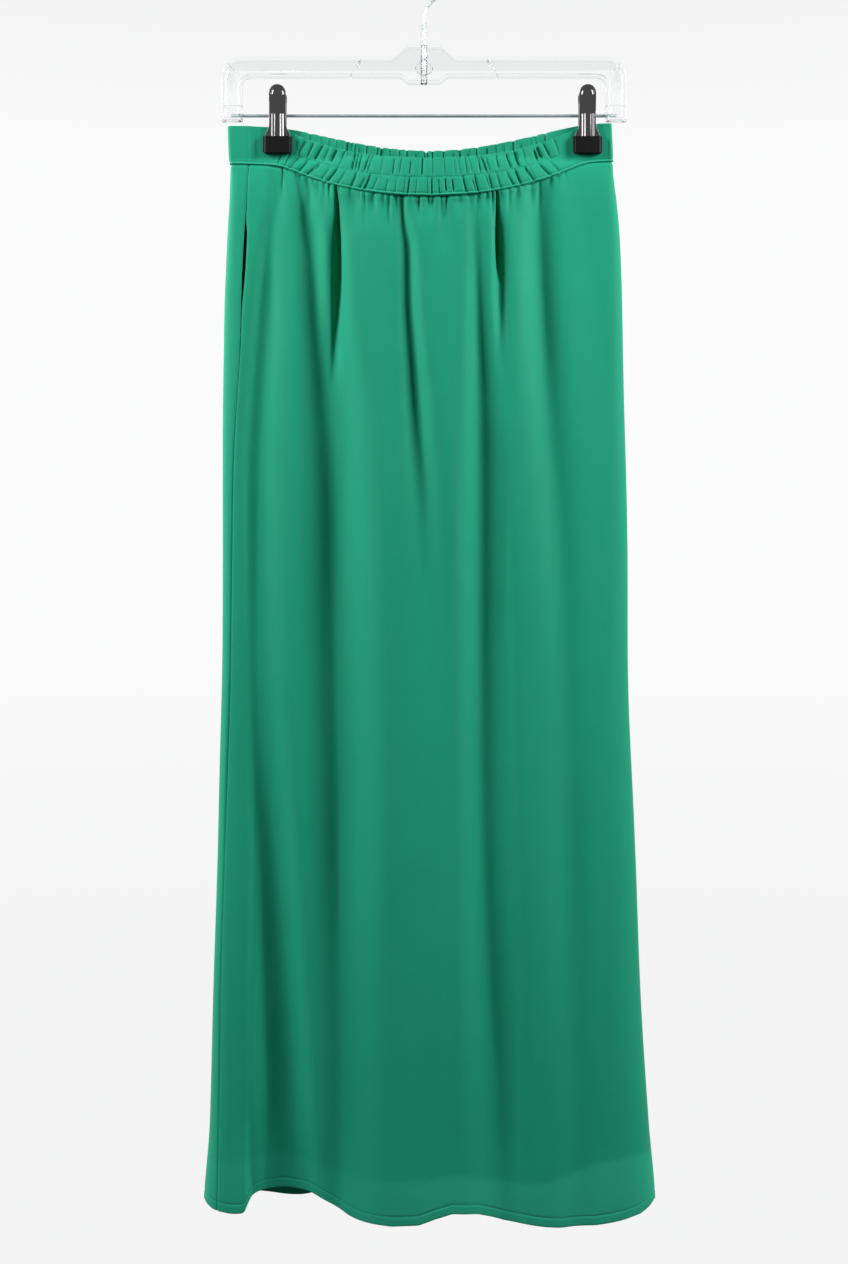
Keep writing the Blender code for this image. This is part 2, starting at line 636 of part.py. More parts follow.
def lining(name, panel, finish):
    """A lining panel: plain, narrower than the skirt, and shorter than it."""
    columns = with_guides(column_places(LINING_COLUMNS, END_DENSE[panel]))
    x, y = loops_of(panel, columns, lining_layer)
    seam = level_of(x, y, BAND_HEIGHT + 2 * SEAM_GAP)
    hem = hem_level(x, y) + LINING_ABOVE_HEM
    heights = seam + (hem - seam) * np.asarray(LINING_ROWS)[:, None]
    outer = np.stack([at_heights(x, heights), at_heights(y, heights), heights], axis=2)
    thickness = np.full(outer.shape[:2], LINING_WALL)
    return wall(name, *sheet_between(outer, thickness), finish)


def pocket_bag(name, finish):
    """Both layers of the pocket's bag, which lie on each other behind the front panel."""
    rows = np.linspace(0.0, 1.0, 8)
    columns = with_guides(np.linspace(0.0, 1.0, 8))
    heights = BAG_TOP + (BAG_BOTTOM - BAG_TOP) * rows
    grid = []
    for share, height in zip(rows, heights):
        clear = CLOTH_WALL + LAYER_GAP
        x, y = half_loop(height, "front", clear, clear)
        start = x[0] + float(blended(SECTIONS, "seam", height)) - BAG_PAST_SEAM
        reach = BAG_WIDTH * (0.62 + 0.38 * math.sin(math.pi * min(1.0, 0.25 + 0.75 * share)))
        at = start + reach * columns
        grid.append(np.stack([at, np.interp(at, x, y), np.full(len(at), height)], axis=1))
    outer = np.array(grid)
    return wall(name, *sheet_between(outer, np.full(outer.shape[:2], BAG_WALL)), finish)


def skirt(cloth, lining_cloth):
    front_dense = END_DENSE["front"] + PLEATS_DENSE
    skirt_panel("skirt_front", "front", column_places(FRONT_COLUMNS, front_dense), cloth)
    skirt_panel("skirt_back", "back", column_places(BACK_COLUMNS, END_DENSE["back"]), cloth)
    waistband("waistband_front", "front", cloth)
    waistband("waistband_back", "back", cloth)
    pocket_bag("pocket_bag", lining_cloth)
    lining("lining_front", "front", lining_cloth)
    lining("lining_back", "back", lining_cloth)


# ---------------------------------------------------------------- the hanger's pieces
def arc(middle_x, middle_z, radius, start, stop, steps):
    turns = [math.radians(start + (stop - start) * k / steps) for k in range(steps + 1)]
    return [(middle_x + radius * math.cos(t), middle_z + radius * math.sin(t)) for t in turns]


def inset_outline(outline, distance):
    """Each corner of a clockwise outline moved in by the same distance from both its sides."""
    moved = []
    for k, (x, z) in enumerate(outline):
        (x0, z0), (x1, z1) = outline[k - 1], outline[(k + 1) % len(outline)]
        a, b = math.atan2(z - z0, x - x0), math.atan2(z1 - z, x1 - x)
        half = math.remainder(b - a, 2 * math.pi) / 2
        side = (a + half) - math.pi / 2
        far = distance / math.cos(half)
        moved.append((x + far * math.cos(side), z + far * math.sin(side)))
    return moved


def body_outline():
    """The hanger's outline, clockwise from the middle of its top as seen from the front."""
    foot = BODY_HALF_WIDTH - ARM_WIDTH
    right = [(HUMP_TOP_HALF, HUMP_TOP), (HUMP_SHOULDER_HALF, BODY_TOP)]
    right += arc(
        BODY_HALF_WIDTH - CORNER_RADIUS, BODY_TOP - CORNER_RADIUS, CORNER_RADIUS, 90, 0, 6
    )
    right += [(BODY_HALF_WIDTH, ARM_BOTTOM), (foot, ARM_BOTTOM)]
    right += arc(foot - ARM_FILLET, BODY_BOTTOM - ARM_FILLET, ARM_FILLET, 0, 90, 4)
    right += [(HUMP_FOOT_HALF, BODY_BOTTOM), (HUMP_BOTTOM_HALF, HUMP_BOTTOM)]
    return right + [(-x, z) for x, z in reversed(right)]


def box(name, low, high, turn=0.0, about=(0.0, 0.0)):
    """A box between two corners, turned in the hanger's plane about a point."""
    bm = bmesh.new()
    bmesh.ops.create_cube(bm, size=1.0)
    size = [(b - a) * MM for a, b in zip(low, high)]
    middle = [(a + b) / 2 * MM for a, b in zip(low, high)]
    bmesh.ops.scale(bm, vec=size, verts=bm.verts)
    bmesh.ops.translate(bm, vec=middle, verts=bm.verts)
    pivot = Matrix.Translation((about[0] * MM, 0.0, about[1] * MM))
    turned = pivot @ Matrix.Rotation(math.radians(turn), 4, "Y") @ pivot.inverted()
    bmesh.ops.transform(bm, matrix=turned, verts=bm.verts)
    return loose(name, bm)


def cylinder(name, start, stop, radius, sides):
    """A cylinder between two points that lie on one axis."""
    bm = bmesh.new()
    run = [b - a for a, b in zip(start, stop)]
    long = math.sqrt(sum(r * r for r in run))
    bmesh.ops.create_cone(
        bm, cap_ends=True, segments=sides, radius1=radius * MM, radius2=radius * MM, depth=long * MM
    )
    axis = max(range(3), key=lambda k: abs(run[k]))
    turn = {0: Matrix.Rotation(math.pi / 2, 4, "Y"), 1: Matrix.Rotation(math.pi / 2, 4, "X")}
    middle = [(a + b) / 2 * MM for a, b in zip(start, stop)]
    placed = Matrix.Translation(middle) @ turn.get(axis, Matrix.Identity(4))
    bmesh.ops.transform(bm, matrix=placed, verts=bm.verts)
    return loose(name, bm)


def loose(name, bm):
    mesh = bpy.data.meshes.new(name)
    bm.to_mesh(mesh)
    bm.free()
    made = bpy.data.objects.new(name, mesh)
    bpy.context.scene.collection.objects.link(made)
    return made


def guide(piece):
    piece.hide_render = True
    piece.display_type = "WIRE"
    return piece


def combine(piece, other, operation):
    step = piece.modifiers.new(other.name, "BOOLEAN")
    step.operation = operation
    step.object = guide(other)


def rib(name, x, z, lean):
    """A rib across the hanger's channel, leaning by so many degrees."""
    low = (x - RIB_THICK / 2, -RIB_DEPTH / 2, z - RIB_HALF_LENGTH)
    high = (x + RIB_THICK / 2, RIB_DEPTH / 2, z + RIB_HALF_LENGTH)
    return box(name, low, high, lean, (x, z))


def hanger_body(clear):
    """The clear plastic body: a thin web inside a deep rim, with ribs, a boss and bar sockets."""
    outer = body_outline()
    inner = inset_outline(outer, RIM_WIDTH)
    count = len(outer)
    half, web = BODY_DEPTH / 2, WEB_DEPTH / 2
    layers = [(outer, -half), (inner, -half), (inner, -web), (inner, web), (inner, half), (outer, half)]
    points = [(x, y, z) for line, y in layers for x, z in line]
    faces = []
    for layer in (0, 1, 3, 4):
        for k in range(count):
            after = (k + 1) % count
            low, high = layer * count, (layer + 1) * count
            faces.append([low + k, low + after, high + after, high + k])
    faces += [[5 * count + k, 5 * count + (k + 1) % count, (k + 1) % count, k] for k in range(count)]
    faces.append(list(range(2 * count, 3 * count)))
    faces.append(list(range(4 * count - 1, 3 * count - 1, -1)))
    body = mesh_object("hanger_body", points, faces, clear)

    foot = BODY_HALF_WIDTH - ARM_WIDTH
    inside_rim = RIM_WIDTH / 2
    for sign, side in ((-1, "left"), (1, "right")):
        low, high = sorted((sign * (foot + inside_rim), sign * (BODY_HALF_WIDTH - inside_rim)))
        socket = box(
            f"socket_{side}",
            (low, -SOCKET_DEPTH / 2, ARM_BOTTOM + inside_rim),
            (high, SOCKET_DEPTH / 2, ARM_BOTTOM + SOCKET_HEIGHT),
        )
        combine(body, socket, "UNION")
        height = (BODY_TOP + BODY_BOTTOM) / 2
        combine(body, rib(f"rib_{side}", sign * RIB_X, height, -sign * RIB_LEAN), "UNION")
        corner = sign * (foot + RIM_WIDTH), BODY_BOTTOM + RIM_WIDTH
        combine(body, rib(f"corner_rib_{side}", *corner, sign * 45.0), "UNION")
    boss_ends = (0, -BOSS_DEPTH / 2, BOSS_HEIGHT), (0, BOSS_DEPTH / 2, BOSS_HEIGHT)
    combine(body, cylinder("boss", *boss_ends, BOSS_RADIUS, 24), "UNION")
    sleeve = cylinder("sleeve", (0, 0, STEM_BOTTOM - 4), (0, 0, SLEEVE_TOP), SLEEVE_RADIUS, 16)
    combine(body, sleeve, "UNION")
    clearance = WIRE_RADIUS + TOUCH
    bore = cylinder("stem_bore", (0, 0, STEM_BOTTOM - TOUCH), (0, 0, SLEEVE_TOP + 1), clearance, 16)
    combine(body, bore, "DIFFERENCE")
    reach = BAR_HALF_LENGTH + TOUCH
    bar_bore = cylinder("bar_bore", (-reach, 0, BAR_HEIGHT), (reach, 0, BAR_HEIGHT), clearance, 12)
    combine(body, bar_bore, "DIFFERENCE")
    return body


def smooth_route(points, step):
    """Points about a step apart on a smooth curve through the given ones."""
    points = [np.array(p, float) for p in points]
    padded = [2 * points[0] - points[1], *points, 2 * points[-1] - points[-2]]
    route = []
    for a, b, c, d in zip(padded, padded[1:], padded[2:], padded[3:]):
        count = max(1, round(float(np.linalg.norm(c - b)) / step))
        for k in range(count):
            t = k / count
            route.append(
                0.5 * (2 * b + (c - a) * t + (2 * a - 5 * b + 4 * c - d) * t * t)
                + 0.5 * (3 * b - a - 3 * c + d) * t**3
            )
    return route + [points[-1]]


def hook(steel):
    """The wire hook: up from the sleeve, round to the right, over the top and down to its tip."""
    middle = WIRE_RADIUS - HOOK_RADIUS
    corners = [(0.0, STEM_BOTTOM), (0.0, SLEEVE_TOP - 1.0), (0.1, SLEEVE_TOP + 3.0)]
    corners.append((STEM_LEAN * 0.7, STEM_BEND + 5.0))
    corners += arc(0.0, middle, HOOK_RADIUS, HOOK_FROM, HOOK_TO, 11)
    line = smooth_route([(x, 0.0, z) for x, z in corners], 5.0)
    curve = bpy.data.curves.new("hook", "CURVE")
    curve.dimensions = "3D"
    curve.bevel_depth = WIRE_RADIUS * MM
    curve.bevel_resolution = 2
    curve.use_fill_caps = True
    spline = curve.splines.new("POLY")
    spline.points.add(len(line) - 1)
    for point, place in zip(spline.points, line):
        point.co = (*(place * MM), 1.0)
    curve.materials.append(steel)
    made = bpy.data.objects.new("hook", curve)
    bpy.context.scene.collection.objects.link(made)


def clip_plate(name, x, sign, ear, chrome):
    """One stamped plate of a clip: a handle, two ears round the bar and a tongue in its pad."""
    share = np.linspace(-1.0, 1.0, PLATE_COLUMNS + 1)
    crown = 0.9 * (1.0 - share**2)
    outer, inner = [], []
    for row in PLATE:
        flat = 0.0 if row.height < -156 else 1.0
        out = row.out + flat * (crown - 0.45)
        places = [x + row.half * s for s in share]
        outer.append([(px, sign * o, row.height) for px, o in zip(places, out)])
        inner.append([(px, sign * (o - PLATE_THICK), row.height) for px, o in zip(places, out)])
    plate = wall(name, np.array(outer), np.array(inner), chrome)
    for side in (-1, 1):
        middle = x + side * ear
        near, far = sorted((sign * EAR_NEAR, sign * -EAR_FAR))
        wing = box(
            f"{name}_ear_{'right' if side > 0 else 'left'}",
            (middle - EAR_THICK / 2, near, BAR_HEIGHT - EAR_HALF_HEIGHT),
            (middle + EAR_THICK / 2, far, BAR_HEIGHT + EAR_HALF_HEIGHT),
        )
        combine(plate, wing, "UNION")
    reach = ear + 2.0
    bore = cylinder(
        f"{name}_bore",
        (x - reach, 0, BAR_HEIGHT),
        (x + reach, 0, BAR_HEIGHT),
        WIRE_RADIUS + TOUCH,
        12,
    )
    combine(plate, bore, "DIFFERENCE")
    plate.data.materials.clear()
    plate.data.materials.append(chrome)


def clip_pad(name, x, sign, rubber):
    """A rubber pad pushed on the end of a clip's plate, with a slot for the plate's tongue."""
    half, corner = PAD_WIDTH / 2, PAD_CORNER
    low = PAD_TOP - PAD_HEIGHT
    outline = [(half, PAD_TOP - 1.0), (half - 1.0, PAD_TOP)]
    outline += [(-half + 1.0, PAD_TOP), (-half, PAD_TOP - 1.0)]
    outline += arc(-half + corner, low + corner, corner, 180, 270, 3)
    outline += arc(half - corner, low + corner, corner, 270, 360, 3)
    near = BAND_FACE + PAD_GAP
    count = len(outline)
    points = [(x + px, sign * y, pz) for y in (near, near + PAD_DEPTH) for px, pz in outline]
    faces = [[k, (k + 1) % count, count + (k + 1) % count, count + k] for k in range(count)]
    faces += [list(range(count)), list(range(2 * count - 1, count - 1, -1))]
    pad = mesh_object(name, points, faces, rubber)
    rows = [row for row in PLATE if row.height < -157.5]
    out, tongue = rows[0].out, rows[0].half
    ends = sorted((sign * (out + TOUCH), sign * (out - PLATE_THICK - TOUCH)))
    slot = box(
        f"{name}_slot",
        (x - tongue - TOUCH, ends[0], TONGUE_BOTTOM - TOUCH),
        (x + tongue + TOUCH, ends[1], PAD_TOP + 1.0),
    )
    combine(pad, slot, "DIFFERENCE")
    return pad


def spring(name, x, steel):
    """The coil between a clip's ears, round the bar, as its outer shape."""
    coil = cylinder(
        name,
        (x - SPRING_HALF_LENGTH, 0, BAR_HEIGHT),
        (x + SPRING_HALF_LENGTH, 0, BAR_HEIGHT),
        SPRING_RADIUS,
        16,
    )
    coil.data.materials.append(steel)
    bore = cylinder(
        f"{name}_bore",
        (x - SPRING_HALF_LENGTH - 1, 0, BAR_HEIGHT),
        (x + SPRING_HALF_LENGTH + 1, 0, BAR_HEIGHT),
        WIRE_RADIUS + TOUCH,
        12,
    )
    combine(coil, bore, "DIFFERENCE")


def clip(side, x, chrome, rubber, steel):
    for face, sign, ear in (("front", -1, FRONT_EAR), ("rear", 1, REAR_EAR)):
        clip_plate(f"clip_{side}_plate_{face}", x, sign, ear, chrome)
        clip_pad(f"clip_{side}_pad_{face}", x, sign, rubber)
    spring(f"clip_{side}_spring", x, steel)


def hanger(clear, steel, chrome, rubber):
    hanger_body(clear)
    hook(steel)
    ends = (-BAR_HALF_LENGTH, 0, BAR_HEIGHT), (BAR_HALF_LENGTH, 0, BAR_HEIGHT)
    cylinder("clip_bar", *ends, WIRE_RADIUS, 12).data.materials.append(steel)
    clip("left", CLIP_LEFT, chrome, rubber, steel)
    clip("right", CLIP_RIGHT, chrome, rubber, steel)


def main():
    for old in list(bpy.data.objects):
        bpy.data.objects.remove(old)
    cloth = material("green_crepe", (0.035, 0.33, 0.2), 0.75)
    lining_cloth = material("green_lining", (0.03, 0.27, 0.17), 0.6)
    clear = material("clear_plastic", (0.93, 0.95, 0.96), 0.08, alpha=0.25)
    steel = material("steel_wire", (0.5, 0.52, 0.54), 0.3, metallic=1.0)
    chrome = material("chrome", (0.8, 0.8, 0.82), 0.12, metallic=1.0)
    rubber = material("black_rubber", (0.012, 0.012, 0.013), 0.5)
    hanger(clear, steel, chrome, rubber)
    skirt(cloth, lining_cloth)


main()
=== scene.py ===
"""The looks of a maxi skirt that hangs by its waistband from a clear clip hanger.

Sizes are in millimetres unless a name says otherwise. X runs to the right as the front is looked at,
Y runs from the front to the back, Z runs up, and the origin is the inside of the hook's top.
"""

import json
import math
from collections import namedtuple
from itertools import accumulate

import bpy
import numpy as np
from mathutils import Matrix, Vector

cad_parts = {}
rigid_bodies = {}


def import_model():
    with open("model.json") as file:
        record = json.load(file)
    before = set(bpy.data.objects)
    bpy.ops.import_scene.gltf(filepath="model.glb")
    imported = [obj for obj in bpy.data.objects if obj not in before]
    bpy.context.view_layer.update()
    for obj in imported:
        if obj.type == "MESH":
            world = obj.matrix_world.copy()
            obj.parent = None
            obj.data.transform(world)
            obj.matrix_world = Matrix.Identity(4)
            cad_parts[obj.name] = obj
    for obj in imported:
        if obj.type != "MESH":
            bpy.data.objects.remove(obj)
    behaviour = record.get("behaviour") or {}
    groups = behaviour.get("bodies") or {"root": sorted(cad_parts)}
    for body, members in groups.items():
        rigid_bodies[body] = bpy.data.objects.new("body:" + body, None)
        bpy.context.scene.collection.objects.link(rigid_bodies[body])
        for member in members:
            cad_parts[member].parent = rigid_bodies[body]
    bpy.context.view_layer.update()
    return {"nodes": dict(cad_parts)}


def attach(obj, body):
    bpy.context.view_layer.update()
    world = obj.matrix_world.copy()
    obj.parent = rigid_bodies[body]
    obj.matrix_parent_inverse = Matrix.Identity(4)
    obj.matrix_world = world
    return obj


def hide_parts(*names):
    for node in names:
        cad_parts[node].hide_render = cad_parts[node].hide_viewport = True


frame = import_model()
MM = 0.001

# ---------------- the camera
CAMERA_AWAY, CAMERA_HEIGHT, LENS = 1.7, -0.5992, 54.22  # metres, metres, and mm on a 36 mm long side


def add_camera():
    lens = bpy.data.cameras.new("camera")
    lens.sensor_fit = "VERTICAL"
    lens.sensor_height = 36.0
    lens.lens = LENS
    made = bpy.data.objects.new("camera", lens)
    made.location = (0.0, -CAMERA_AWAY, CAMERA_HEIGHT)
    made.rotation_euler = (math.pi / 2, 0.0, 0.0)
    bpy.context.scene.collection.objects.link(made)
    bpy.context.scene.camera = made


add_camera()

# ---------------- the skirt's form, as the solids have it
SEAM_GAP, LAYER_GAP = 0.4, 0.5
CLIP_LEFT, CLIP_RIGHT = -130.4, 145.6
BAND_HEIGHT, BAND_WALL, BAND_FACE = 34.0, 1.9, 2.6
CLOTH_WALL, BAG_WALL = 1.2, 1.6
TOP_AT_LEFT, TOP_AT_RIGHT = -148.5, -145.5
DIP_MIDDLE, DIP_HALF_SPAN = 8.0, 138.0
FRONT_DIP, BACK_DIP, DIP_SOFTNESS = 38.0, 16.5, 0.15
PINCH_HALF, LOOP_BULGE = 18.0, 1.6
HEM_HEIGHT, BACK_HEM_HEIGHT = -1113.0, -1106.2
LINING_ABOVE_HEM, LINING_NARROWER = 42.0, 6.0
RIGHT_SEAM_IN = 7.0
FOLD_SHARE, FOLD_FLOOR, SEAM_HOLD, SEAM_REACH = 0.96, 3.3, 0.3, 40.0
POCKET_TOP, POCKET_BOTTOM = -226.0, -372.0
BAG_TOP, BAG_BOTTOM, BAG_WIDTH, BAG_PAST_SEAM = -222.0, -410.0, 92.0, 1.0

Section = namedtuple("Section", "height left right side front back span end seam")
SECTIONS = [
    Section(-140, -175.4, 167.6, BAND_FACE, 26, 27, 122, 3.6, 19),
    Section(-177, -174.2, 168.8, BAND_FACE, 27, 27, 122, 3.6, 18),
    Section(-184, -172.8, 168.6, 4.8, 27, 27, 125, 4.6, 17),
    Section(-200, -173.2, 170.0, 7.4, 27, 26, 129, 7.0, 16),
    Section(-213, -173.6, 171.6, 8.4, 27, 26, 132, 8.0, 16),
    Section(-249, -175.9, 174.4, 9.8, 27, 25, 140, 10.0, 16),
    Section(-320, -178.6, 177.2, 12.0, 27, 24, 150, 14.0, 16),
    Section(-463, -179.6, 180.4, 15.0, 27, 24, 160, 20.0, 10),
    Section(-606, -179.6, 181.6, 18.0, 27, 25, 168, 27.0, 8),
    Section(-749, -183.0, 186.6, 22.0, 28, 26, 174, 34.0, 7),
    Section(-892, -187.2, 192.6, 26.0, 29, 27, 180, 42.0, 7),
    Section(-1035, -191.2, 200.4, 29.0, 30, 28, 186, 48.0, 9),
    Section(-1120, -197.0, 207.0, 31.0, 30, 28, 190, 50.0, 14),
]
LOOP_HEIGHTS = np.concatenate([np.linspace(-138.0, -260.0, 82), np.linspace(-264.0, -1122.0, 150)])
LOOP_POINTS = 700


def tables(columns, **tables_of):
    """Tables by name, whose rows get named columns."""
    return {name: [columns(*row) for row in rows] for name, rows in tables_of.items()}


# The long folds: height, where the valley lies, its depth, and how far its two flanks reach.
Fold = namedtuple("Fold", "height x depth left right")
FRONT_FOLDS = tables(
    Fold,
    side_valley=[
        (-195, -128, 2.0, 6, 6), (-249, -137, 4.5, 8, 9), (-320, -142, 8.0, 10, 13),
        (-463, -150, 9.0, 12, 18), (-606, -150, 11.0, 13, 23), (-700, -147, 15.0, 15, 24),
        (-800, -140, 22.0, 17, 24), (-892, -137, 30.0, 18, 25), (-1035, -131, 38.0, 20, 28),
        (-1120, -124, 38.0, 22, 31),
    ],
    left_hollow=[
        (-600, -112, 0.0, 40, 50), (-750, -112, 2.5, 42, 54), (-892, -112, 5.0, 44, 58),
        (-1035, -112, 7.0, 46, 60), (-1120, -112, 8.0, 46, 60),
    ],
    hem_tuck=[
        (-1000, -156.0, 0.0, 5, 16), (-1060, -155.5, 5.0, 2.8, 18), (-1120, -154.5, 9.0, 2.2, 20),
    ],
    left_gather=[
        (-195, -108, 3.5, 5, 7), (-249, -103, 11.0, 9, 12), (-320, -98, 12.5, 10, 12),
        (-380, -96, 9.0, 11, 11), (-440, -96, 4.0, 11, 11), (-500, -94, 0.0, 11, 11),
    ],
    left_pleat=[
        (-225, -78, 2.5, 6, 7), (-255, -79, 6.5, 7, 8), (-320, -80, 10.0, 10, 13),
        (-410, -81, 16.0, 17, 24), (-500, -83, 22.0, 20, 30), (-606, -83, 24.0, 21, 35),
        (-749, -81, 25.0, 21, 40), (-892, -79, 23.0, 21, 42), (-1035, -77, 20.0, 20, 44),
        (-1120, -77, 17.0, 20, 44),
    ],
    middle_gather=[
        (-200, -22, 1.5, 5, 5), (-230, -19, 4.5, 6, 6), (-265, -14, 7.5, 8, 7),
        (-310, -13, 8.5, 9, 8), (-350, -10, 9.5, 10, 9), (-410, -6, 11.0, 13, 12),
        (-500, 0, 10.0, 18, 16), (-606, 2, 9.0, 23, 21), (-749, -2, 8.0, 26, 25),
        (-900, -8, 7.5, 28, 26), (-1035, -12, 7.0, 29, 27), (-1120, -14, 5.0, 29, 27),
    ],
    right_wave=[
        (-200, 42, 2.0, 6, 6), (-249, 46, 4.0, 8, 8), (-300, 48, 7.0, 9, 9),
        (-350, 49, 9.5, 10, 12), (-410, 51, 12.0, 14, 16), (-463, 52, 14.5, 17, 19),
        (-606, 53, 18.0, 21, 20), (-749, 55, 19.0, 24, 21), (-892, 60, 18.5, 28, 22),
        (-1035, 66, 17.0, 32, 23), (-1120, 68, 15.0, 33, 24),
    ],
    right_pleat=[
        (-222, 66, 2.0, 6, 6), (-249, 67, 6.0, 6, 6), (-300, 68, 8.0, 7, 7),
        (-350, 69, 5.0, 7, 7), (-430, 70, 0.0, 9, 9),
    ],
    outer_gather=[
        (-195, 104, 4.0, 9, 9), (-249, 104, 8.5, 15, 11), (-320, 107, 9.5, 16, 12),
        (-410, 113, 8.0, 17, 14), (-500, 120, 6.5, 18, 15), (-606, 125, 5.5, 18, 16),
        (-749, 130, 6.0, 20, 18), (-892, 133, 5.5, 20, 18), (-1120, 136, 4.0, 20, 20),
    ],
    right_shelf=[
        (-420, 70, 0.0, 6, 5), (-500, 72, 2.0, 7, 6), (-606, 74, 3.5, 9, 7),
        (-749, 77, 3.5, 10, 8), (-892, 82, 2.5, 10, 8), (-1035, 86, 1.0, 10, 8),
        (-1100, 88, 0.0, 10, 8),
    ],
)
BACK_FOLDS = tables(
    Fold,
    right_valley=[
        (-200, 112, 2.0, 10, 9), (-320, 110, 11.4, 12, 12), (-606, 118, 13.3, 20, 18),
        (-1120, 128, 26.6, 26, 24),
    ],
    right_gather=[
        (-195, 62, 2.0, 7, 7), (-280, 58, 15.2, 10, 9), (-420, 52, 11.4, 14, 14),
        (-640, 46, 13.3, 20, 22), (-1120, 44, 17.1, 26, 28),
    ],
    middle_valley=[
        (-195, 4, 2.0, 7, 8), (-300, 0, 13.3, 10, 10), (-430, -4, 7.6, 13, 13),
        (-560, -6, 0.0, 16, 16),
    ],
    left_gather=[
        (-195, -54, 2.5, 8, 7), (-300, -50, 13.3, 10, 11), (-606, -42, 15.2, 20, 18),
        (-892, -38, 15.2, 24, 22), (-1120, -40, 19.0, 28, 26),
    ],
    left_valley=[
        (-200, -104, 1.5, 9, 9), (-340, -108, 11.4, 12, 12), (-700, -112, 15.2, 20, 22),
        (-1120, -116, 22.8, 26, 26),
    ],
)

# The open knife pleats, slits with steep sides: height, where the middle is, depth and half width.
Slit = namedtuple("Slit", "height x depth half")
PLEATS = tables(
    Slit,
    left=[
        (-196, -78.4, 5.0, 0.4), (-206, -78.2, 8.0, 0.8), (-222, -77.8, 11.0, 1.5),
        (-246, -78.2, 11.5, 2.4), (-268, -78.8, 10.0, 3.1), (-292, -79.4, 9.0, 3.4),
        (-318, -80.2, 7.5, 3.4), (-345, -81.0, 4.5, 3.6), (-385, -82.0, 0.0, 4.0),
    ],
    right=[
        (-199, 64.2, 4.0, 0.35), (-212, 64.8, 7.5, 0.7), (-232, 66.0, 9.0, 1.3),
        (-252, 66.8, 8.5, 1.9), (-272, 67.8, 5.0, 2.4), (-298, 68.8, 0.0, 2.6),
    ],
)
PLEAT_EDGE = 0.4  # how soft a pleat's edge is at its top; it doubles towards its end

Gather = namedtuple("Gather", "x length depth half")
GATHERS = tables(
    Gather,
    front=[
        (-132, 44, 3.2, 3.6), (-110, 60, 3.4, 2.8), (-103.5, 46, 3.2, 2.6), (-94, 26, 2.4, 4.5),
        (-62, 46, 3.0, 5.0), (-47, 34, 2.6, 4.5), (-34, 42, 2.6, 4.5), (-6, 30, 2.2, 4.5),
        (6, 24, 2.4, 4.5), (18, 70, 3.4, 5.0), (31, 26, 2.2, 4.5), (54, 24, 2.4, 4.0),
        (81, 40, 2.8, 5.0), (94, 30, 2.6, 4.5),
    ],
    back=[
        (96, 28, 2.6, 5.0), (84, 40, 2.8, 5.0), (74, 24, 2.2, 4.5), (48, 36, 3.0, 5.0),
        (34, 26, 2.4, 4.5), (21, 48, 3.0, 5.0), (-12, 30, 2.4, 4.5), (-25, 44, 3.0, 5.0),
        (-38, 26, 2.4, 4.5), (-68, 32, 2.8, 4.5), (-82, 42, 3.0, 5.0), (-94, 24, 2.2, 4.5),
    ],
)

# The front's lower edges, from the left end of the loop to the right one.
EdgePoint = namedtuple("EdgePoint", "x height")
EDGES = tables(
    EdgePoint,
    hem=[
        (-198, -1101.5), (-194, -1105.5), (-187, -1109.0), (-171, -1110.6), (-162, -1110.2),
        (-158.2, -1108.0), (-156.4, -1098.0), (-153, -1094.4), (-144, -1092.6), (-130, -1091.6),
        (-110, -1094.4), (-105, -1096.1), (-87, -1103.4), (-72, -1110.6), (-64, -1112.7),
        (-56, -1113.9), (-47, -1114.5), (-30, -1114.8), (-5, -1112.0), (10, -1105.8),
        (25, -1101.4), (48, -1104.0), (73, -1111.5), (96, -1114.6), (120, -1117.8),
        (150, -1117.8), (174, -1114.4), (191, -1111.0), (200, -1106.6), (206, -1102.0),
    ],
    lining=[
        (-200, -1068), (-120, -1062), (-60, -1078), (0, -1076), (25, -1068),
        (62, -1078), (110, -1079), (160, -1062), (205, -1060),
    ],
)
EDGE_SOFTNESS = {"hem": (-1.6, -0.8, 0.0, 0.8, 1.6), "lining": (-12, -6, 0, 6, 12)}


def blended(rows, column, at):
    """A column of a table at other heights, on a smooth curve through the rows."""
    heights = np.array([-r.height for r in rows], float)
    values = np.array([getattr(r, column) for r in rows], float)
    rates = np.diff(values) / np.diff(heights)
    slopes = np.zeros(len(rows))
    same_way = rates[1:] * rates[:-1] > 0
    slopes[1:-1][same_way] = 2 / (1 / rates[1:][same_way] + 1 / rates[:-1][same_way])
    at = np.clip(-np.asarray(at, float), heights[0], heights[-1])
    k = np.clip(np.searchsorted(heights, at) - 1, 0, len(heights) - 2)
    span = heights[k + 1] - heights[k]
    t = (at - heights[k]) / span
    rise = values[k] * (1 + 2 * t) * (1 - t) ** 2 + values[k + 1] * t * t * (3 - 2 * t)
    lean = slopes[k] * t * (1 - t) ** 2 - slopes[k + 1] * t * t * (1 - t)
    return rise + lean * span


def bell(distance):
    return np.exp(-distance * distance)


def eased(t):
    t = np.clip(t, 0.0, 1.0)
    return t * t * (3 - 2 * t)


def fold_room(depth, below_seam):
    held = SEAM_HOLD + (1.0 - SEAM_HOLD) * eased(below_seam / SEAM_REACH)
    return FOLD_SHARE * held * np.maximum(depth - FOLD_FLOOR, 0.0)


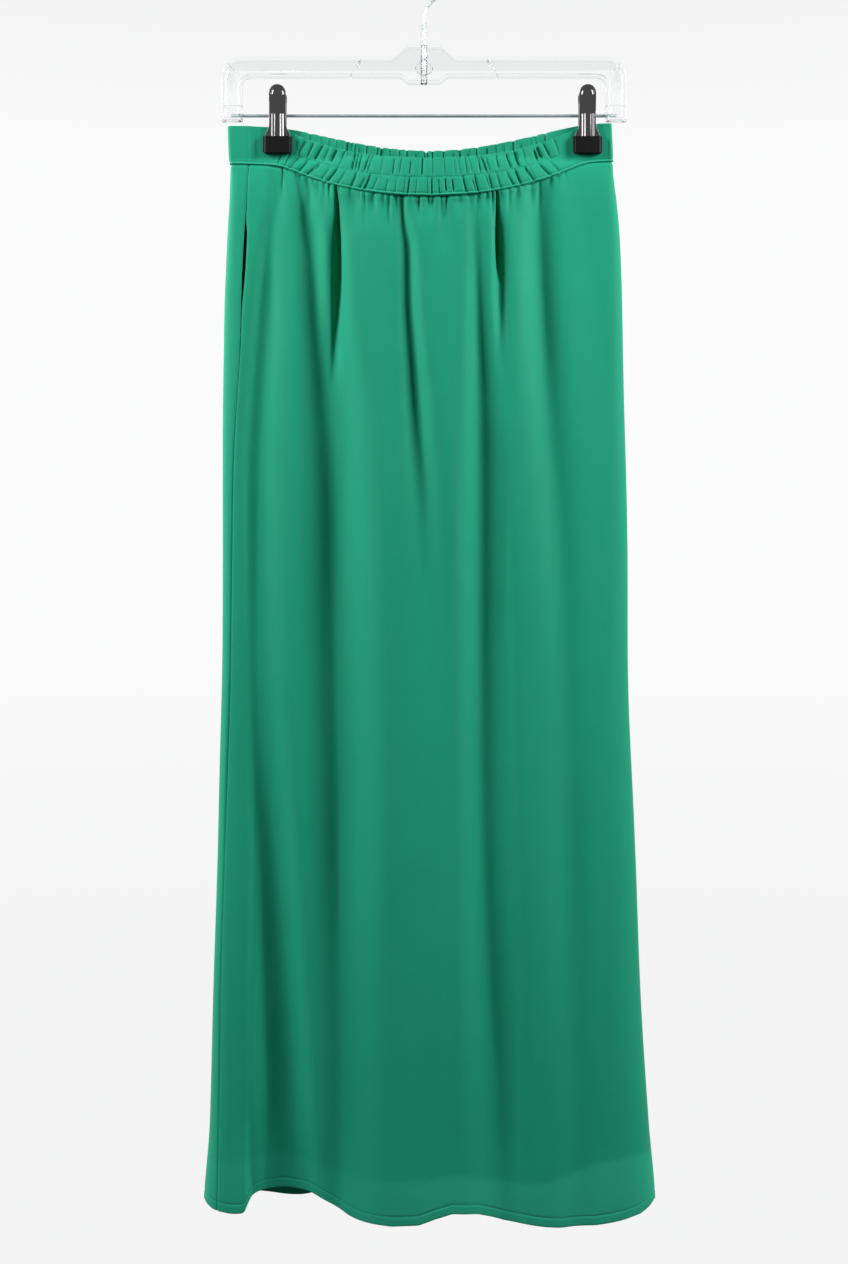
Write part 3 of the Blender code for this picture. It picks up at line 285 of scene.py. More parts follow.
def half_loop(height, side, inset=0.0, clear=None):
    """Half of the level section at a height, from its left end to its right end."""
    row = {c: float(blended(SECTIONS, c, height)) for c in Section._fields[1:]}
    left, right = row["left"] + inset, row["right"] - inset
    x = left + (right - left) * (0.5 - 0.5 * np.cos(np.linspace(0.0, math.pi, LOOP_POINTS)))
    bow_at = np.clip((x - DIP_MIDDLE) / row["span"], -1.0, 1.0)
    bow = row[side] * np.cos(0.5 * math.pi * bow_at) ** 1.6
    outside = np.maximum(CLIP_LEFT - PINCH_HALF - x, x - CLIP_RIGHT - PINCH_HALF)
    loop = LOOP_BULGE * eased(outside / 8.0) * (1.0 - eased((-height - 172.0) / 20.0))
    depth = row["side"] + loop + bow
    sign = -1.0 if side == "front" else 1.0
    if clear is not None:
        below_seam = top_edge(x, sign * depth) - BAND_HEIGHT - height
        depth = depth - fold_room(depth, below_seam) - clear
    end = row["end"] * depth[0] / (row["side"] + loop[0])
    cap = np.clip(np.minimum(x - left, right - x) / end, 0.0, 1.0)
    return x, sign * depth * np.sqrt(1.0 - (1.0 - cap) ** 2)


def panel_line(height, panel, fractions, inset, clear):
    """Points of one panel at a height, and how wide it is there, between its side seams."""
    front_x, front_y = half_loop(height, "front", inset, clear)
    back_x, back_y = half_loop(height, "back", inset, clear)
    x = np.concatenate([front_x, back_x[-2::-1]])
    y = np.concatenate([front_y, back_y[-2::-1]])
    along = np.concatenate([[0.0], np.cumsum(np.hypot(np.diff(x), np.diff(y)))])
    seam = float(blended(SECTIONS, "seam", height)) + front_x[0]
    left = float(np.interp(seam, front_x, along[:LOOP_POINTS]))
    over = np.interp(-(front_x[-1] - RIGHT_SEAM_IN), -back_x[::-1], along[LOOP_POINTS - 1 :])
    start, stop = (left, float(over)) if panel == "front" else (float(over), along[-1] + left)
    at = start + (stop - start) * fractions
    again = np.concatenate([along, along[-1] + along[1:]])
    x, y = np.concatenate([x, x[1:]]), np.concatenate([y, y[1:]])
    return np.interp(at, again, x), np.interp(at, again, y), stop - start


class Loops:
    """A panel's level sections, to be read at any height."""

    def __init__(self, panel, fractions, layer=lambda height: (0.0, None)):
        lines = [panel_line(height, panel, fractions, *layer(height)) for height in LOOP_HEIGHTS]
        self.x = np.array([line[0] for line in lines])
        self.y = np.array([line[1] for line in lines])
        self.wide = np.array([line[2] for line in lines])

    def at(self, heights):
        down = -LOOP_HEIGHTS
        found = []
        for table in (self.x, self.y):
            columns = [np.interp(-heights[:, j], down, table[:, j]) for j in range(heights.shape[1])]
            found.append(np.stack(columns, axis=1))
        return found

    def level_of(self, drop):
        """The heights, column by column, of an edge that runs a drop below the waistband's top."""
        heights = np.full((1, self.x.shape[1]), TOP_AT_LEFT - BAND_HEIGHT)
        for _ in range(6):
            x, y = self.at(heights)
            heights[0] = top_edge(x[0], y[0]) - drop
        return heights[0]


def top_edge(x, y):
    level = np.interp(x, [CLIP_LEFT, CLIP_RIGHT], [TOP_AT_LEFT, TOP_AT_RIGHT])
    sag = 1.0 - DIP_SOFTNESS / 4 - ((x - DIP_MIDDLE) / DIP_HALF_SPAN) ** 2
    sag = 0.5 * (sag + np.sqrt(sag**2 + DIP_SOFTNESS**2))
    return level - sag * (BACK_DIP + (FRONT_DIP - BACK_DIP) * eased(0.5 - y / 4.0))


def front_edge(name, x):
    """The height of one of the front's lower edges, softened between its points."""
    at, heights = zip(*EDGES[name])
    steps = EDGE_SOFTNESS[name]
    return sum(np.interp(x + step, at, heights) for step in steps) / len(steps)


def hem_edge(x, y):
    to_front = eased(0.5 - y / 12.0)
    return BACK_HEM_HEIGHT + (front_edge("hem", x) - BACK_HEM_HEIGHT) * to_front


def folds_at(x, height, table):
    total = np.zeros_like(x)
    for rows in table.values():
        off = x - blended(rows, "x", height)
        reach = np.where(off < 0, blended(rows, "left", height), blended(rows, "right", height))
        starts = eased((rows[0].height + 14.0 - height) / 14.0)
        ends = 1.0 - eased((rows[-1].height - height) / 30.0)
        total += np.clip(blended(rows, "depth", height), 0, None) * bell(off / reach) * starts * ends
    return total


def gathers_at(x, below_seam, table):
    total = np.zeros_like(x)
    for row in table:
        down = np.clip(below_seam / row.length, 0.0, 1.0)
        depth = row.depth * (0.35 + 0.65 * eased(down * 4.0)) * (1.0 - eased(down))
        total += depth * bell((x - row.x) / (row.half * (1.0 + 0.6 * down)))
    return total


def outward(x, y):
    tx, ty = np.gradient(x, axis=1), np.gradient(y, axis=1)
    long = np.maximum(np.hypot(tx, ty), 1e-9)
    return ty / long, -tx / long


Dense = namedtuple("Dense", "place width more")


def dense_sides(width, more):
    """Denser at a panel's two side seams."""
    return [Dense(0.0, width, more), Dense(1.0, width, more)]


def places(count, dense=()):
    """Fractions of a panel, from 0 to 1, closer together near the dense places."""
    fine = np.linspace(0.0, 1.0, 6000)
    weight = np.ones_like(fine)
    for row in dense:
        weight = weight + row.more * bell((fine - row.place) / row.width)
    total = np.concatenate([[0.0], np.cumsum(0.5 * (weight[1:] + weight[:-1]))])
    return np.interp(np.linspace(0.0, total[-1], count + 1), total, fine)


# ---------------- fine relief of the cloth
def pleats_at(x, height):
    total = np.zeros_like(x)
    for rows in PLEATS.values():
        off = np.abs(x - blended(rows, "x", height)) - blended(rows, "half", height)
        down = eased((rows[0].height - height) / (rows[0].height - rows[-1].height))
        soft = PLEAT_EDGE * (1.0 + 3.0 * down)
        starts = eased((rows[0].height + 10.0 - height) / 10.0)
        total += np.clip(blended(rows, "depth", height), 0, None) * starts / (1.0 + np.exp(off / soft * 2.0))
    return total


def small_gathers(seed, start, stop, pitch):
    """Short fine gathers under the waist seam, uneven in place, length and depth."""
    chance = np.random.default_rng(seed)
    rows, at = [], start
    while at < stop:
        strong = chance.random() < 0.35
        length = chance.uniform(22, 46) if strong else chance.uniform(10, 24)
        depth = chance.uniform(1.7, 2.7) if strong else chance.uniform(0.8, 1.6)
        rows.append(Gather(at, length, depth, chance.uniform(1.3, 2.4)))
        at += pitch * chance.uniform(0.5, 1.5)
    return rows


def pinches_at(x, below_seam, table):
    """Gathers that are sharp where the waist seam holds them and widen as they fade."""
    total = np.zeros_like(x)
    for row in table:
        down = np.clip(below_seam / row.length, 0.0, 1.0)
        wide = row.half * (0.45 + 1.6 * down)
        total += row.depth * (1.0 - down) ** 1.4 * bell((x - row.x) / wide)
    return total


def ripple(x, height, seed, size, deep):
    """Slight unevenness of a large cloth: a few long waves that cross each other."""
    chance = np.random.default_rng(seed)
    total = np.zeros_like(x)
    for _ in range(7):
        across, down = chance.uniform(0.5, 1.5) / size, chance.uniform(-0.35, 0.35) / size
        total += np.sin(2 * math.pi * (x * across + height * down + chance.random()))
    return total * deep / 7**0.5


FRONT_SMALL = small_gathers(11, -126, 132, 6.4)
BACK_SMALL = small_gathers(12, -126, 132, 6.6)


# ---------------- meshes
def link(name, mesh):
    made = bpy.data.objects.new(name, mesh)
    bpy.context.scene.collection.objects.link(made)
    return made


def stand_for(piece, node_name):
    """Dress one of the frame's nodes with a piece."""
    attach(piece, "root")
    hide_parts(node_name)


def cells(grid):
    """The four corners of each cell of a grid."""
    return np.stack([grid[:-1, :-1], grid[1:, :-1], grid[1:, 1:], grid[:-1, 1:]], axis=2).reshape(-1, 4)


def grid_mesh(name, grid, material, size=(1.0, 1.0), wrap=False, tones=None):
    """A smooth sheet from a grid of points. Its UV map is in metres of cloth."""
    rows, columns = grid.shape[:2]
    number = np.arange(rows * columns).reshape(rows, columns)
    if wrap:
        number = np.concatenate([number, number[:, :1]], axis=1)
    mesh = bpy.data.meshes.new(name)
    mesh.from_pydata((grid.reshape(-1, 3) * MM).tolist(), [], cells(number).tolist())
    mesh.shade_smooth()
    u, v = np.meshgrid(np.linspace(0, size[0], number.shape[1]), np.linspace(0, size[1], rows))
    corners = np.stack([cells(u), cells(v)], axis=2).reshape(-1)
    mesh.uv_layers.new(name="cloth").data.foreach_set("uv", corners)
    # The tone attribute carries painted light: below 1, the material mixes in its lighter painted colour.
    if tones is not None:
        values = np.ones((rows * columns, 4))
        values[:, :3] = tones.reshape(-1, 1)
        colours = mesh.color_attributes.new("tone", "FLOAT_COLOR", "POINT")
        colours.data.foreach_set("color", values.reshape(-1))
    mesh.materials.append(material)
    return link(name, mesh)


# ---------------- materials
def plug(tree, made, values):
    """Fill a node's inputs, each with a constant or with another node's output."""
    for key, value in values.items():
        if isinstance(value, bpy.types.NodeSocket):
            tree.links.new(value, made.inputs[key])
        else:
            made.inputs[key].default_value = value


def node(tree, kind, output, inputs=None, **settings):
    """One output of a new node."""
    made = tree.nodes.new(kind)
    for key, value in settings.items():
        setattr(made, key, value)
    plug(tree, made, inputs or {})
    return made.outputs[output]


def ramp(tree, value, stops):
    """A colour ramp. The first two of its stops, (place, colour), are its ends."""
    made = tree.nodes.new("ShaderNodeValToRGB")
    plug(tree, made, {"Fac": value})
    elements = made.color_ramp.elements
    for k, (at, colour) in enumerate(stops):
        stop = elements[k] if k < 2 else elements.new(at)
        stop.position, stop.color = at, (*colour, 1.0)
    return made.outputs["Color"]


def noise(tree, where, scale, detail, rough=0.5):
    inputs = {"Vector": where, "Scale": scale, "Detail": detail, "Roughness": rough}
    return node(tree, "ShaderNodeTexNoise", "Fac", inputs)


def bump(tree, height, strength, distance, **over):
    inputs = {"Height": height, "Strength": strength, "Distance": distance, **over}
    return node(tree, "ShaderNodeBump", "Normal", inputs)


def finish(name, look):
    """A new material, with constants set on its shader's own sockets."""
    made = bpy.data.materials.new(name)
    made.use_nodes = True
    shader = made.node_tree.nodes["Principled BSDF"]
    plug(made.node_tree, shader, look)
    return made, made.node_tree, shader


CLOTH_LOOK = {
    "Roughness": 0.72,
    "Sheen Roughness": 0.5,
    "Sheen Tint": (0.62, 0.95, 0.84, 1.0),
    "Specular IOR Level": 0.22,
}
THREADS = {"Scale": 340.0, "Distortion": 1.2, "Detail Scale": 2.0}


def cloth_material(name, low, high, painted_light, grain, sheen):
    """A matt crepe: pebbled grain, a faint weave and soft colour variation, with painted light where the
    tone attribute is below 1: a lighter colour painted where backlight shows below the lining, and a painted
    highlight on the waistband's raised seam.
    """
    made, tree, shader = finish(name, {**CLOTH_LOOK, "Sheen Weight": sheen})
    where = node(tree, "ShaderNodeUVMap", 0, uv_map="cloth")
    weave = {}
    for k, direction in enumerate(("X", "Y")):
        inputs = {"Vector": where, **THREADS}
        weave[k] = node(
            tree, "ShaderNodeTexWave", "Fac", inputs, bands_direction=direction, wave_profile="SIN"
        )
    threads = node(tree, "ShaderNodeMath", 0, weave, operation="MAXIMUM")
    pebble = noise(tree, where, grain, 3.0, 0.6)
    pebbled = bump(tree, pebble, 0.35, 0.00022)
    woven = bump(tree, threads, 0.18, 0.0001, Normal=pebbled)
    broad = noise(tree, where, 22.0, 4.0, 0.7)
    uneven = node(tree, "ShaderNodeMix", 0, {0: 0.55, 2: broad, 3: pebble}, data_type="FLOAT")
    dyed = ramp(tree, uneven, [(0.25, low), (0.75, high)])
    tone = node(tree, "ShaderNodeVertexColor", "Color", layer_name="tone")
    # Painted light: where the tone is below 1, the dyed colour gives way to the lighter painted_light
    # colour.
    colour = node(tree, "ShaderNodeMix", 2, {0: tone, 6: (*painted_light, 1.0), 7: dyed}, data_type="RGBA")
    plug(tree, shader, {"Normal": woven, "Base Color": colour})
    return made


CLOTH = cloth_material(
    "green_crepe",
    low=(0.0045, 0.325, 0.178),
    high=(0.006, 0.365, 0.205),
    # The painted light colour: painted backlight below the lining's hem, and a painted highlight on the
    # waistband's raised seam.
    painted_light=(0.02, 0.43, 0.27),
    grain=900.0,
    sheen=0.12,
)
LINING = cloth_material(
    "green_lining",
    low=(0.004, 0.23, 0.125),
    high=(0.006, 0.27, 0.15),
    painted_light=(0.006, 0.27, 0.15),
    grain=1500.0,
    sheen=0.05,
)


# ---------------- the skirt's panels
HEM_FOLD, HEM_ROUND = 8.0, 0.5
STITCH_GROOVE, STITCH_UP, STITCH_HALF = 0.32, 7.6, 0.9  # the hem's stitches pull the cloth in
RIPPLE_SEED, RIPPLE_SIZE, RIPPLE_DEEP, BACK_RIPPLE_SHIFT = 5, 90.0, 0.35, 500
TUCK = 3.0  # how far the skirt goes up inside the waistband
SEAM_GROOVE, SEAM_HALF = 0.9, 0.9


def seam_groove(fractions, wide):
    """The groove along a panel's two side seams."""
    near = np.minimum(fractions, 1.0 - fractions)[None, :] * wide
    return SEAM_GROOVE * bell(near / SEAM_HALF)


def skirt_sheet(panel, fractions, shares):
    """A skirt panel's outer face and its turned hem, as a grid of points."""
    loops = Loops(panel, fractions)
    seam = loops.level_of(BAND_HEIGHT + SEAM_GAP)
    low = np.full((1, len(fractions)), HEM_HEIGHT)
    hem_x, hem_y = loops.at(low)
    hem = hem_edge(hem_x[0], hem_y[0])
    heights = seam + (hem - seam) * np.asarray(shares)[:, None]
    heights = np.concatenate([[seam + TUCK, seam + TUCK / 2], heights])
    px, py = loops.at(heights)
    below = np.maximum(seam - heights, 0.0)
    front = folds_at(px, heights, FRONT_FOLDS) + gathers_at(px, below, GATHERS["front"])
    back = folds_at(px, heights, BACK_FOLDS) + gathers_at(px, below, GATHERS["back"])
    if panel == "front":
        front = front + pleats_at(px, heights)
    room = np.maximum(fold_room(np.abs(py), below + 6.0), 1e-6)
    depth = np.where(py < 0, front, back)
    depth = depth / (1.0 + (depth / room) ** 4) ** 0.25
    small = np.where(py < 0, pinches_at(px, below, FRONT_SMALL), pinches_at(px, below, BACK_SMALL))
    depth = depth + small * eased(np.abs(py) / 9.0)
    shift = BACK_RIPPLE_SHIFT if panel == "back" else 0
    waves = ripple(px + shift, heights, RIPPLE_SEED, RIPPLE_SIZE, RIPPLE_DEEP)
    depth = depth + waves * eased(below / 60.0)
    depth = depth + STITCH_GROOVE * bell((heights - hem - STITCH_UP) / STITCH_HALF)
    wide = np.interp(-heights[:, :1], -LOOP_HEIGHTS, loops.wide)
    depth = depth + seam_groove(fractions, wide)
    # The top edge turns in and goes up inside the waistband.
    depth = depth * eased((heights - seam) / -3.0 + 1.0) + 1.1 * (1.0 - eased(below / 1.6))
    nx, ny = outward(px, py)
    outer = np.stack([px - nx * depth, py - ny * depth, heights], axis=2)
    if panel == "front":
        open_pocket(outer, fractions, wide)
    hem_in = np.stack([-nx[-1], -ny[-1], np.zeros(len(fractions))], axis=1)
    turned = []
    for a in np.radians((45, 90, 135, 180)):
        step = hem_in * HEM_ROUND * (1 - math.cos(a))
        step[:, 2] = -HEM_ROUND * math.sin(a)
        turned.append(outer[-1] + step)
    for up in (2.0, 5.0, HEM_FOLD - 0.6, HEM_FOLD):
        inside = outer[-1] + hem_in * (2 * HEM_ROUND if up < HEM_FOLD else 1.2 * HEM_ROUND)
        inside[:, 2] += up
        turned.append(inside)
    return np.concatenate([outer, np.array(turned)])


def open_pocket(outer, fractions, wide):
    """The pocket's mouth: the front panel's edge draws back from the left seam and stands off it."""
    down = (POCKET_TOP - outer[:, 0, 2]) / (POCKET_TOP - POCKET_BOTTOM)
    gape = 2.5 * eased(down / 0.14) * (1.0 - eased((down - 0.3) / 0.4))
    gape += 0.5 * np.sin(math.pi * np.clip(down, 0, 1))
    near = bell(fractions[None, :] * wide / 12.0)
    outer[..., 0] += gape[:, None] * near
    outer[..., 1] -= 0.35 * gape[:, None] * near


def painted_backlight_tone(grid):
    """1 where the lining lies behind the cloth, and 0 below the lining's hem, where light comes through:
    there the cloth is painted lighter as painted backlight, more so to the right.
    """
    x, z = grid[..., 0], grid[..., 2]
    above = eased((z - front_edge("lining", x) + 2.5) / 5.0)
    return 1.0 - (1.0 - above) * np.interp(x, [-60.0, 40.0], [0.35, 0.8])


# Where a skirt panel's mesh is denser: at its side seams, pleats and pocket, and at its seam and hem.
SIDE_SEAMS = dense_sides(0.006, 1.6)
ACROSS = SIDE_SEAMS + [Dense(0.23, 0.02, 2.4), Dense(0.63, 0.018, 2.4), Dense(0.08, 0.02, 1.0)]
DOWN = [Dense(0.0, 0.05, 2.2), Dense(1.0, 0.02, 2.0), Dense(0.9918, 0.0022, 9.0)]


def add_skirt():
    for panel, across, down in (("front", 340, 244), ("back", 250, 190)):
        at = places(across, ACROSS if panel == "front" else SIDE_SEAMS)
        grid = skirt_sheet(panel, at, places(down, DOWN))
        piece = grid_mesh(f"skirt_{panel}_cloth", grid, CLOTH, (0.5, 0.95), tones=painted_backlight_tone(grid))
        stand_for(piece, f"skirt_{panel}")


# ---------------- the waistband
Crease = namedtuple("Crease", "x depth reach lean top bottom")


def creases(seed, start, stop, lean):
    """The elastic's creases in one channel, uneven in place, depth, lean and length."""
    chance = np.random.default_rng(seed)
    rows, at = [], start
    while at < stop:
        dark = chance.random() < 0.3
        depth = chance.uniform(2.4, 3.3) if dark else chance.uniform(1.0, 2.0)
        short = chance.random() < 0.3
        top, bottom = (chance.uniform(0, 0.35), chance.uniform(0.75, 1.0)) if short else (-0.2, 1.1)
        reach, leans = chance.uniform(0.6, 1.1), lean + chance.uniform(-0.5, 0.5)
        rows.append(Crease(at, depth, reach, leans, top, bottom))
        at += chance.uniform(2.6, 4.2) if chance.random() < 0.22 else chance.uniform(5.6, 10.2)
    return rows


STITCH_AT = 0.51  # how far down the waistband its middle row of stitches is
STITCH_PITCH, STITCH_DEPTH, CHANNEL_BULGE = 2.4, 0.42, 0.65
CORD_UP = 1.1  # how far the middle of the raised seam is above the waistband's lower edge
BAND_ROWS = places(46, [Dense(STITCH_AT, 0.03, 1.5), Dense(0.95, 0.04, 3.5)])
CHANNELS = {
    "front": (creases(21, -112, 116, 1.0), creases(22, -131, 119, 1.5)),
    "back": (creases(23, -112, 116, 1.0), creases(24, -118, 119, 1.5)),
    "front_inside": (creases(25, -110, 116, 1.0), creases(26, -116, 119, 1.2)),
    "back_inside": (creases(27, -112, 116, 0.9), creases(28, -116, 119, 1.2)),
}


def crease_field(x, slope, drop, share, rows):
    """How deep a channel's creases are. share runs from 0 at the channel's top to 1 at its bottom."""
    total = np.zeros_like(x)
    for row in rows:
        away = x - slope * drop * row.lean - row.x
        cusp = np.exp(-(np.sqrt(away**2 + 0.04) - 0.2) / row.reach)
        reach = eased((share - row.top) / 0.2 + 0.5) * eased((row.bottom - share) / 0.2 + 0.5)
        depth = row.depth * cusp * reach
        total = np.maximum(total, depth) + 0.12 * np.minimum(total, depth)
    return total


def band_relief(x, slope, drop, v, channels):
    """How far the waistband stands out from its plain form: two gathered channels and their stitches."""
    upper, lower = channels
    high, low = v / STITCH_AT, (v - STITCH_AT) / (1 - STITCH_AT)
    inside = eased((x + 116) / 8) * eased((124 - x) / 8)
    inside_low = eased((x + 136) / 8) * eased((126 - x) / 8)
    top = crease_field(x, slope, drop, high, upper) * (1 - 0.75 * bell((high - 1) / 0.16))
    bottom = crease_field(x, slope, drop - STITCH_AT * BAND_HEIGHT, low, lower)
    crease = np.where(v < STITCH_AT, top, bottom * (1 - 0.7 * bell(low / 0.16)))
    gathered = np.where(v < STITCH_AT, inside, inside_low)
    share = np.where(v < STITCH_AT, high, low)
    tube = np.sqrt(np.clip(np.sin(math.pi * np.clip(share, 0.02, 0.98)), 0, 1))
    swell = CHANNEL_BULGE * gathered * tube
    stitch = 0.6 + 0.4 * np.sign(np.sin(x * 2 * math.pi / STITCH_PITCH))
    groove = STITCH_DEPTH * bell((v - STITCH_AT) * BAND_HEIGHT / 0.6) * stitch
    up = BAND_HEIGHT * (1 - v)
    # The raised seam, and the stitches above it.
    cord = 0.55 * bell((up - CORD_UP) / 0.75) - 0.5 * bell((up - CORD_UP - 1.5) / 0.6)
    crease = crease * (1 - 0.55 * bell((up - CORD_UP) / 1.2))
    return swell - crease * gathered - groove * (0.1 + 0.9 * gathered) + cord, crease * gathered


def under_pad(x, z):
    """1 where a clip's pad presses on the waistband."""
    press = np.zeros_like(x)
    for middle in (CLIP_LEFT, CLIP_RIGHT):
        press = np.maximum(press, eased((17.0 - np.abs(x - middle)) / 3.0) * eased((z + 176.0) / 2.5))
    return press


def band_sheet(panel):
    """Half of the waistband: its outer face, its rolled top and its inner face, as a grid of points."""
    fractions = places(760, dense_sides(0.005, 1.5))
    loops = Loops(panel, fractions)
    top, bottom = loops.level_of(0.0), loops.level_of(BAND_HEIGHT)
    wide = float(np.interp(172.0, -LOOP_HEIGHTS, loops.wide))
    ends = 0.3 * bell(np.minimum(fractions, 1 - fractions) * wide / SEAM_HALF)
    layers = []
    for face, inset, v in (("", 0.0, BAND_ROWS), ("_inside", BAND_WALL, np.linspace(0.0, 1.0, 19))):
        v = v[:, None]
        heights = top + (bottom - top) * v
        px, py = loops.at(heights)
        slope = top_edge(px + 0.5, py) - top_edge(px - 0.5, py)
        drop = top_edge(px, py) - heights
        share = np.broadcast_to(v, px.shape)
        stands, crease = band_relief(px, slope, drop, share, CHANNELS[panel + face])
        press = under_pad(px, heights)
        stands = stands * (1 - press) + np.minimum(stands, 0.0) * press - ends
        if face == "":
            out = stands - 1.1 * eased((v - 0.978) / 0.022)  # the lower edge rounds in
        else:
            out = -stands - inset
        nx, ny = outward(px, py)
        lowered = 0.75 * crease * np.clip(1 - v * BAND_HEIGHT / 3.0, 0, 1) ** 1.5
        layers.append(np.stack([px + nx * out, py + ny * out, heights - lowered], axis=2))
    outer, inner = layers
    middle, half = (outer[0] + inner[0]) / 2, (outer[0] - inner[0]) / 2
    roll = []
    for a in np.radians((-60, -30, 0, 30, 60)):
        roll.append(middle + half * -math.sin(a) + np.array([0, 0, 0.8 * math.cos(a)]))
    outer[0, :, 2] -= 0.1
    return np.concatenate([outer[::-1], np.array(roll), inner])


def band_painted_highlight(shape):
    """A painted highlight: the raised seam at the waistband's lower edge is painted a little lighter than
    the rest, where light catches its rounded edge.
    """
    up = BAND_HEIGHT * (1 - BAND_ROWS[::-1, None])
    tone = np.ones(shape)
    tone[: len(up)] -= 0.45 * bell((up - CORD_UP) / 0.7)
    return tone


def add_waistband():
    for panel in ("front", "back"):
        grid = band_sheet(panel)
        tones = band_painted_highlight(grid.shape[:2])
        piece = grid_mesh(f"waistband_{panel}_cloth", grid, CLOTH, (0.42, 0.084), tones=tones)
        stand_for(piece, f"waistband_{panel}")


# ---------------- the lining and the pocket
def lining_layer(height):
    """How far the lining's ends stay inside the skirt's at a height, and its faces behind the cloth."""
    clear = CLOTH_WALL + LAYER_GAP + (BAG_WALL + LAYER_GAP) * eased((BAG_TOP + 26.0 - height) / 18.0)
    return clear + LINING_NARROWER * eased((BAG_TOP - height) / 500.0), clear


def add_lining():
    for panel in ("front", "back"):
        fractions = places(110, dense_sides(0.01, 1.0))
        loops = Loops(panel, fractions, lining_layer)
        seam = loops.level_of(BAND_HEIGHT + 2 * SEAM_GAP)
        hem = BACK_HEM_HEIGHT + LINING_ABOVE_HEM
        if panel == "front":
            low = np.full((1, len(fractions)), HEM_HEIGHT + LINING_ABOVE_HEM)
            hem = front_edge("lining", loops.at(low)[0][0])
        heights = seam + (hem - seam) * places(90, [Dense(1.0, 0.02, 2.0)])[:, None]
        px, py = loops.at(heights)
        below = seam - heights
        wave = 0.5 + 0.5 * np.sin(px / 9.0 + 1.3 * np.sin(heights / 140.0))
        depth = 0.7 * wave * eased(below / 50.0)
        nx, ny = outward(px, py)
        grid = np.stack([px - nx * depth, py - ny * depth, heights], axis=2)
        tones = np.ones(grid.shape[:2])
        piece = grid_mesh(f"lining_{panel}_cloth", grid, LINING, (0.48, 0.88), tones=tones)
        stand_for(piece, f"lining_{panel}")


def add_pocket():
    rows, columns = np.linspace(0.0, 1.0, 40), np.linspace(0.0, 1.0, 30)
    layers = []
    for inside in (0.0, BAG_WALL):
        grid = []
        for share, height in zip(rows, BAG_TOP + (BAG_BOTTOM - BAG_TOP) * rows):
            clear = CLOTH_WALL + LAYER_GAP
            x, y = half_loop(height, "front", clear, clear)
            start = x[0] + float(blended(SECTIONS, "seam", height)) - BAG_PAST_SEAM
            reach = BAG_WIDTH * (0.62 + 0.38 * math.sin(math.pi * min(1.0, 0.25 + 0.75 * share)))
            at = start + reach * columns
            grid.append(np.stack([at, np.interp(at, x, y) + inside, np.full(len(at), height)], axis=1))
        layers.append(np.array(grid))
    both = np.concatenate([layers[0][:, ::-1], layers[1]], axis=1)
    piece = grid_mesh("pocket_bag_cloth", both, LINING, (0.36, 0.19), tones=np.ones(both.shape[:2]))
    stand_for(piece, "pocket_bag")


# ---------------- the stage and its light
STAGE_FLOOR, STAGE_RADIUS, STAGE_CURVE, STAGE_WALL_TOP = -1330.0, 3800.0, 1500.0, 1200.0
STAGE_TONE_REACH = 1.4  # metres
# How bright the stage is at shares of its height, from that far below the hook to that far above it.
STAGE_TONES = [(0.0, 0.88), (1.0, 0.86), (0.03, 0.89), (0.3, 0.965), (0.75, 0.965)]


def add_stage():
    """A seamless white bowl all round: flat below the skirt, then curving up into a wall and a dome."""
    look = {"Roughness": 0.9, "Base Color": (0.01, 0.01, 0.01, 1.0), "Specular IOR Level": 0.0}
    made, tree, shader = finish("stage_white", {**look, "Emission Strength": 1.0})
    where = node(tree, "ShaderNodeNewGeometry", "Position")
    height = node(tree, "ShaderNodeSeparateXYZ", "Z", {0: where})
    reach = {"From Min": -STAGE_TONE_REACH, "From Max": STAGE_TONE_REACH}
    level = node(tree, "ShaderNodeMapRange", 0, {"Value": height, **reach})
    # Painted light: the stage glows by itself, and its glow is painted dimmer towards its bottom and its
    # top.
    tones = [(at, (tone, tone * 1.004, tone * 1.004)) for at, tone in STAGE_TONES]
    plug(tree, shader, {"Emission Color": ramp(tree, level, tones)})
    inner = STAGE_RADIUS - STAGE_CURVE
    rings = [(0.0, STAGE_FLOOR), (inner, STAGE_FLOOR)]
    quarter = np.radians(90 * np.arange(13) / 12)
    for a in quarter[1:]:
        rings.append((inner + STAGE_CURVE * math.sin(a), STAGE_FLOOR + STAGE_CURVE * (1 - math.cos(a))))
    for a in quarter:
        rings.append((STAGE_RADIUS * math.cos(a), STAGE_WALL_TOP + STAGE_RADIUS * 0.5 * math.sin(a)))
    turns = np.linspace(0, 2 * math.pi, 65)[:-1]
    grid = np.array([[(r * math.cos(t), r * math.sin(t), z) for t in turns] for r, z in rings])
    stage = grid_mesh("stage", grid, made, wrap=True)
    stage.visible_diffuse = stage.visible_glossy = stage.visible_shadow = False


def add_light(name, place, size, power):
    light = bpy.data.lights.new(name, "AREA")
    light.shape = "RECTANGLE"
    light.size, light.size_y = size
    light.energy = power
    made = bpy.data.objects.new(name, light)
    made.location = place
    made.rotation_euler = (Vector(LIT) - Vector(place)).to_track_quat("-Z", "Y").to_euler()
    bpy.context.scene.collection.objects.link(made)
    return made


def link_light(light, pieces, state):
    """Keep a light to some pieces, or off them: plated steel mirrors a lamp far too brightly."""
    group = bpy.data.collections.new(f"{light.name}_pieces")
    for piece in pieces:
        group.objects.link(piece)
    for entry in group.collection_objects:
        entry.light_linking.link_state = state
    light.light_linking.receiver_collection = group


# The room's brightness by the share that a direction points away from the camera.
ROOM_TONES = [(0.0, 0.08), (1.0, 0.75), (0.25, 0.42)]
# The lamps, in metres and watts. The front ones light all but the plated clips, which have weak cards.
LIT = (0, 0, -0.24)
LAMP_SIDE, LAMP_FRONT, LAMP_BACK, LAMP_HEIGHT = 1.45, -0.6, 0.8, 0.42
LAMP_SIZE, FRONT_POWER, BACK_POWER = (0.48, 0.9), 37.5, 13
CARD_SIZE, CARD_POWER = (0.36, 1.1), 2.4


